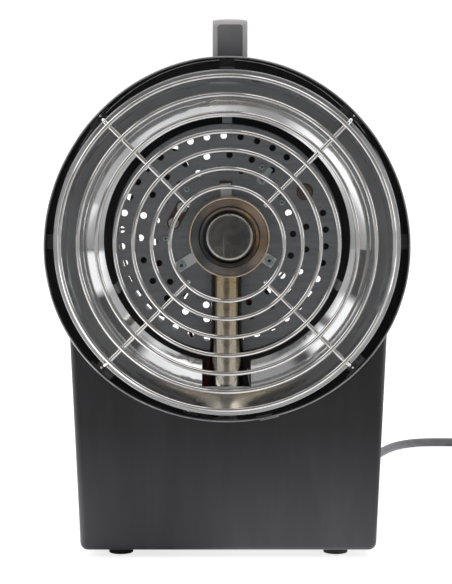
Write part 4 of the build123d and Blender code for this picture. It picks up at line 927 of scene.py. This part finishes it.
# ---------------------------------------------------------------- wire guard
def make_guard():
    """The guard's wires, drawn finely enough to keep their highlights crisp."""
    rings = [ring_path(radius, guard_y, steps=160) for radius in ring_radii]
    ring_piece = wire_piece("guard_ring_wires", rings, wire_r, "guard_chrome", cyclic=True, sides=6)
    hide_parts("guard_rings")
    spoke_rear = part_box("guard_spokes")[1].y
    sunk, overlap = 0.4 * MM, 3.2 * MM      # how deep a spoke is welded in, and how far it passes the last ring
    spoke_y = guard_y + 2 * wire_r - sunk
    start_r = ring_radii[0] - overlap
    corner, corner_steps, splay = 5.0 * MM, 8, 0.6 * MM
    turn_r = spoke_turn_r
    spokes = []
    for angle in spoke_angles:
        path = [on_clock(start_r, angle, spoke_y), on_clock((start_r + turn_r) / 2, angle, spoke_y)]
        for step in range(corner_steps + 1):
            turn = pi / 2 * step / corner_steps
            radius = turn_r - corner + corner * sin(turn)
            path.append(on_clock(radius, angle, spoke_y + corner - corner * cos(turn)))
        path.append(on_clock(turn_r + splay, angle, spoke_rear - wire_r * 0.02))
        spokes.append(path)
    spoke_piece = wire_piece("guard_spoke_wires", spokes, wire_r, "guard_chrome", sides=6)
    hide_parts("guard_spokes")


def make_guard_welds():
    """A bead of weld wherever a ring crosses a spoke, and a thickened butt weld on each ring."""
    bead_size = (1.9 * MM, 1.0 * MM, 1.9 * MM)
    butt_angles = (0.0, 212.0, -20.0, 118.0, 266.0, -37.5, 64.0)
    butt_half_length, butt_swell = 0.8 * MM, 0.25 * MM
    vertices, faces = [], []
    for ring_index, radius in enumerate(ring_radii):
        for spoke_index, angle in enumerate(spoke_angles):
            middle = on_clock(radius, angle, guard_y + wire_r * 0.9)
            seed = Vector((ring_index * 3.1, spoke_index * 5.3, 0.7))
            weld_bead(vertices, faces, middle, bead_size, seed)
    mesh_piece("spoke_welds", vertices, faces, "guard_chrome")
    sleeves = []
    for radius, angle in zip(ring_radii, butt_angles):
        half = butt_half_length / radius * 180 / pi
        sleeves.append([on_clock(radius, angle + half * step, guard_y) for step in (-1, 0, 1)])
    wire_piece("ring_butt_welds", sleeves, wire_r + butt_swell, "guard_chrome")


make_guard()
make_guard_welds()


# ---------------------------------------------------------------- emitter head
def make_emitter_trim():
    """The cup's rolled rim, the pressed step inside it, and a bead round the stem's top."""
    head = (cap_x, cap_z)
    rim_wire, step_wire, bead_wire = 0.8 * MM, 0.5 * MM, 0.7 * MM
    step_r, step_y = cup_r * 0.73, cup_front + 5.6 * MM
    collar_z = cap_z - cup_r - 4.0 * MM
    collar_steps = 64
    wire_piece("cup_rim", [ring_path(cup_r - 0.7 * MM, cup_front + 0.5 * MM, head)], rim_wire,
               "heat_tinted_steel", cyclic=True, finish="rim_gold")
    wire_piece("cup_step", [ring_path(step_r, step_y, head)], step_wire, "heat_tinted_steel", cyclic=True)
    collar = []
    for step in range(collar_steps):
        turn = 2 * pi * step / collar_steps
        collar.append(Vector((stem_x + stem_r * cos(turn), stem_y + stem_r * sin(turn), collar_z)))
    wire_piece("stem_collar", [collar], bead_wire, "stem_chrome", cyclic=True)


def make_stem():
    """The stem's tube, cut at its top to the cup's round wall."""
    columns, rows = 96, 24
    wall = 1.2 * MM
    cut_r = cup_r + 0.1 * MM
    vertices = []
    for radius in (stem_r, stem_r - wall):
        for row in range(rows + 1):
            for column in range(columns):
                turn = 2 * pi * column / columns
                x = stem_x + radius * cos(turn)
                top = cap_z - (cut_r ** 2 - (x - cap_x) ** 2) ** 0.5
                height = stem_low.z + (top - stem_low.z) * row / rows
                vertices.append(Vector((x, stem_y + radius * sin(turn), height)))
    inner = (rows + 1) * columns
    faces = grid_faces(rows + 1, columns)
    faces += [tuple(reversed(face)) for face in grid_faces(rows + 1, columns, inner)]
    for row in (0, rows):
        for column in range(columns):
            first, after = row * columns + column, row * columns + (column + 1) % columns
            faces.append((first, after, after + inner, first + inner))
    stem = mesh_piece("stem", vertices, faces, "stem_chrome")
    split = stem.modifiers.new("crisp_ends", "EDGE_SPLIT")
    split.split_angle = radians(60)
    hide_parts("stem_tube")


def clumps(node):
    """Boxes round the separate pieces of a node, such as each of its screws."""
    mesh = frame["nodes"][node].data
    owner = list(range(len(mesh.vertices)))

    def head(index):
        while owner[index] != index:
            owner[index] = owner[owner[index]]
            index = owner[index]
        return index

    places = {}
    for vertex in mesh.vertices:
        key = tuple(round(value, 6) for value in vertex.co)
        owner[vertex.index] = head(places.setdefault(key, vertex.index))
    for edge in mesh.edges:
        owner[head(edge.vertices[0])] = head(edge.vertices[1])
    groups = {}
    for vertex in mesh.vertices:
        groups.setdefault(head(vertex.index), []).append(vertex.co)
    boxes = []
    for points in groups.values():
        low = Vector(min(point[axis] for point in points) for axis in range(3))
        high = Vector(max(point[axis] for point in points) for axis in range(3))
        boxes.append((low, high))
    return sorted(boxes, key=lambda box: tuple(round(value, 5) for value in box[0]))


def make_screw_recesses():
    """Painted shade: flat black faces for the dark inside of the cup's screws' hex sockets, with a bright ring,
    and of the crossed slots in the plate's screws.
    """
    vertices, faces = [], []
    rings = []
    socket_r, ring_r, ring_sink = 1.5 * MM, 2.1 * MM, 0.1 * MM
    for low, high in clumps("cup_screws"):
        head = ((low.x + high.x) / 2, (low.z + high.z) / 2)
        front = low.y - 0.12 * MM
        # Painted shade: a flat black hexagon just in front of the head, for the socket's dark inside.
        first = len(vertices)
        for corner in range(6):
            turn = pi / 3 * corner + 0.3
            vertices.append(Vector((head[0] + socket_r * cos(turn), front, head[1] + socket_r * sin(turn))))
        faces.append(tuple(range(first, first + 6)))
        rings.append(ring_path(ring_r, front + ring_sink, head, steps=24))
    slot_reach, slot_share = 1.5 * MM, 0.2
    for low, high in clumps("plate_screws"):
        middle = (low + high) / 2
        front = low.y - 0.10 * MM
        tilt = middle.x * 90.0              # a different turn for each screw
        # Painted shade: flat black crossed bars just in front of the head, for the slots' dark inside.
        for quarter in (0.0, pi / 2):
            along = Vector((cos(tilt + quarter), 0, sin(tilt + quarter))) * slot_reach
            across = Vector((-along.z, 0, along.x)) * slot_share
            first = len(vertices)
            for offset in (along + across, along - across, -along - across, -along + across):
                vertices.append(Vector((middle.x, front, middle.z)) + offset)
            faces.append(tuple(range(first, first + 4)))
    mesh_piece("socket_shades", vertices, faces, "zinc", "black_plastic", smooth=False)
    wire_piece("socket_rings", rings, 0.3 * MM, "zinc", cyclic=True)


def make_slot_pad():
    """Red-brown insulating pad seen through the plate's slot at 12 o'clock."""
    half_width, low, high = 8.0 * MM, 44.0 * MM, 64.0 * MM
    middle_x = cap_x - 2.0 * MM
    front = plate_front + 1.6 * MM
    back = front + 1.4 * MM
    vertices = []
    for y in (front, back):
        for x, rise in ((-half_width, low), (half_width, low), (half_width, high), (-half_width, high)):
            vertices.append(Vector((middle_x + x, y, axis_z + rise)))
    faces = [(0, 1, 2, 3), (7, 6, 5, 4)]
    faces += [(side, side + 4, (side + 1) % 4 + 4, (side + 1) % 4) for side in range(4)]
    pad = mesh_piece("slot_pad", vertices, faces, "phenolic", smooth=False)
    edge = pad.modifiers.new("soft_edges", "BEVEL")
    edge.width = 0.3 * MM
    edge.segments = 2


def make_cutout_gasket():
    """A dark washer behind the plate, round the thermal cutout, that closes the gap in its hole."""
    low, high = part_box("thermal_cutout")
    middle = ((low.x + high.x) / 2, (low.z + high.z) / 2)
    cutout_r = (high.x - low.x) / 2
    inner_r, outer_r = cutout_r - 1.0 * MM, cutout_r + 4.0 * MM
    front = plate_front + 1.3 * MM
    back = front + 0.8 * MM
    steps = 48
    vertices = []
    for radius, depth in ((inner_r, front), (outer_r, front), (outer_r, back), (inner_r, back)):
        vertices += ring_path(radius, depth, middle, steps=steps)
    mesh_piece("cutout_gasket", vertices, grid_faces(4, steps, closed_rows=True), "phenolic", smooth=False)


def make_element():
    """The wound heating wire in the ceramic's groove."""
    low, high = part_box("heating_coil")
    wire = 0.4 * MM
    groove_r = (high.x - low.x) / 2 - (high.y - low.y) / 2
    wind_r = (high.y - low.y) / 2 - 0.45 * MM
    middle_y = (low.y + high.y) / 2
    winds, steps = 110, 10
    path = []
    for index in range(winds * steps):
        angle = 360 * index / (winds * steps)
        turn = 2 * pi * index / steps
        path.append(on_clock(groove_r + wind_r * cos(turn), angle, middle_y + wind_r * sin(turn), (cap_x, cap_z)))
    element = wire_piece("element_winding", [path], wire, "element_wire", cyclic=True, sides=1)
    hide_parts("heating_coil")


make_emitter_trim()
make_element()
make_stem()
make_screw_recesses()
make_slot_pad()
make_cutout_gasket()


# ---------------------------------------------------------------- rear controls
knob_travel = 270           # degrees


def add_bar(vertices, faces, middle, along, across, proud):
    """Adds a thin raised bar on a face that looks towards +Y: its half length, half width and height."""
    first = len(vertices)
    for y in (0.0, proud):
        for offset in (-along - across, along - across, along + across, -along + across):
            vertices.append(middle + offset + Vector((0, y, 0)))
    faces += [(first, first + 1, first + 2, first + 3), (first + 7, first + 6, first + 5, first + 4)]
    for corner in range(4):
        after = (corner + 1) % 4
        faces.append((first + corner, first + corner + 4, first + after + 4, first + after))


def make_dial():
    """The knob's white pointer, and the scale printed round it: ticks that grow longer towards the hottest."""
    low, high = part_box("thermostat_knob")
    middle_x, middle_z = (low.x + high.x) / 2, (low.z + high.z) / 2
    knob_r = (high.x - low.x) / 2
    sunk, proud = 0.05 * MM, 0.15 * MM
    pointer_r, pointer_reach, pointer_half_width = knob_r * 0.66, knob_r * 0.2, 0.45 * MM
    vertices, faces = [], []
    add_bar(vertices, faces, Vector((middle_x, high.y - sunk, middle_z + pointer_r)),
            Vector((0, 0, pointer_reach)), Vector((pointer_half_width, 0, 0)), proud)
    mesh_piece("knob_pointer", vertices, faces, "black_plastic", "mark_white", body="knob", smooth=False)
    panel_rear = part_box("rear_panel")[1].y
    ticks, tick_r, tick_half_width = 10, knob_r + 3.0 * MM, 0.35 * MM
    dial_middle = Vector((middle_x, panel_rear - sunk, middle_z))
    vertices, faces = [], []
    for index in range(ticks):
        turn = radians(knob_travel * index / (ticks - 1))
        out = Vector((sin(turn), 0, cos(turn)))
        across = Vector((cos(turn), 0, -sin(turn)))
        reach = (0.7 + 0.1 * index) * MM
        add_bar(vertices, faces, dial_middle + out * tick_r, out * reach, across * tick_half_width, proud)
    mesh_piece("dial_ticks", vertices, faces, "base_black", "mark_white", smooth=False)


make_dial()

bpy.context.view_layer.update()
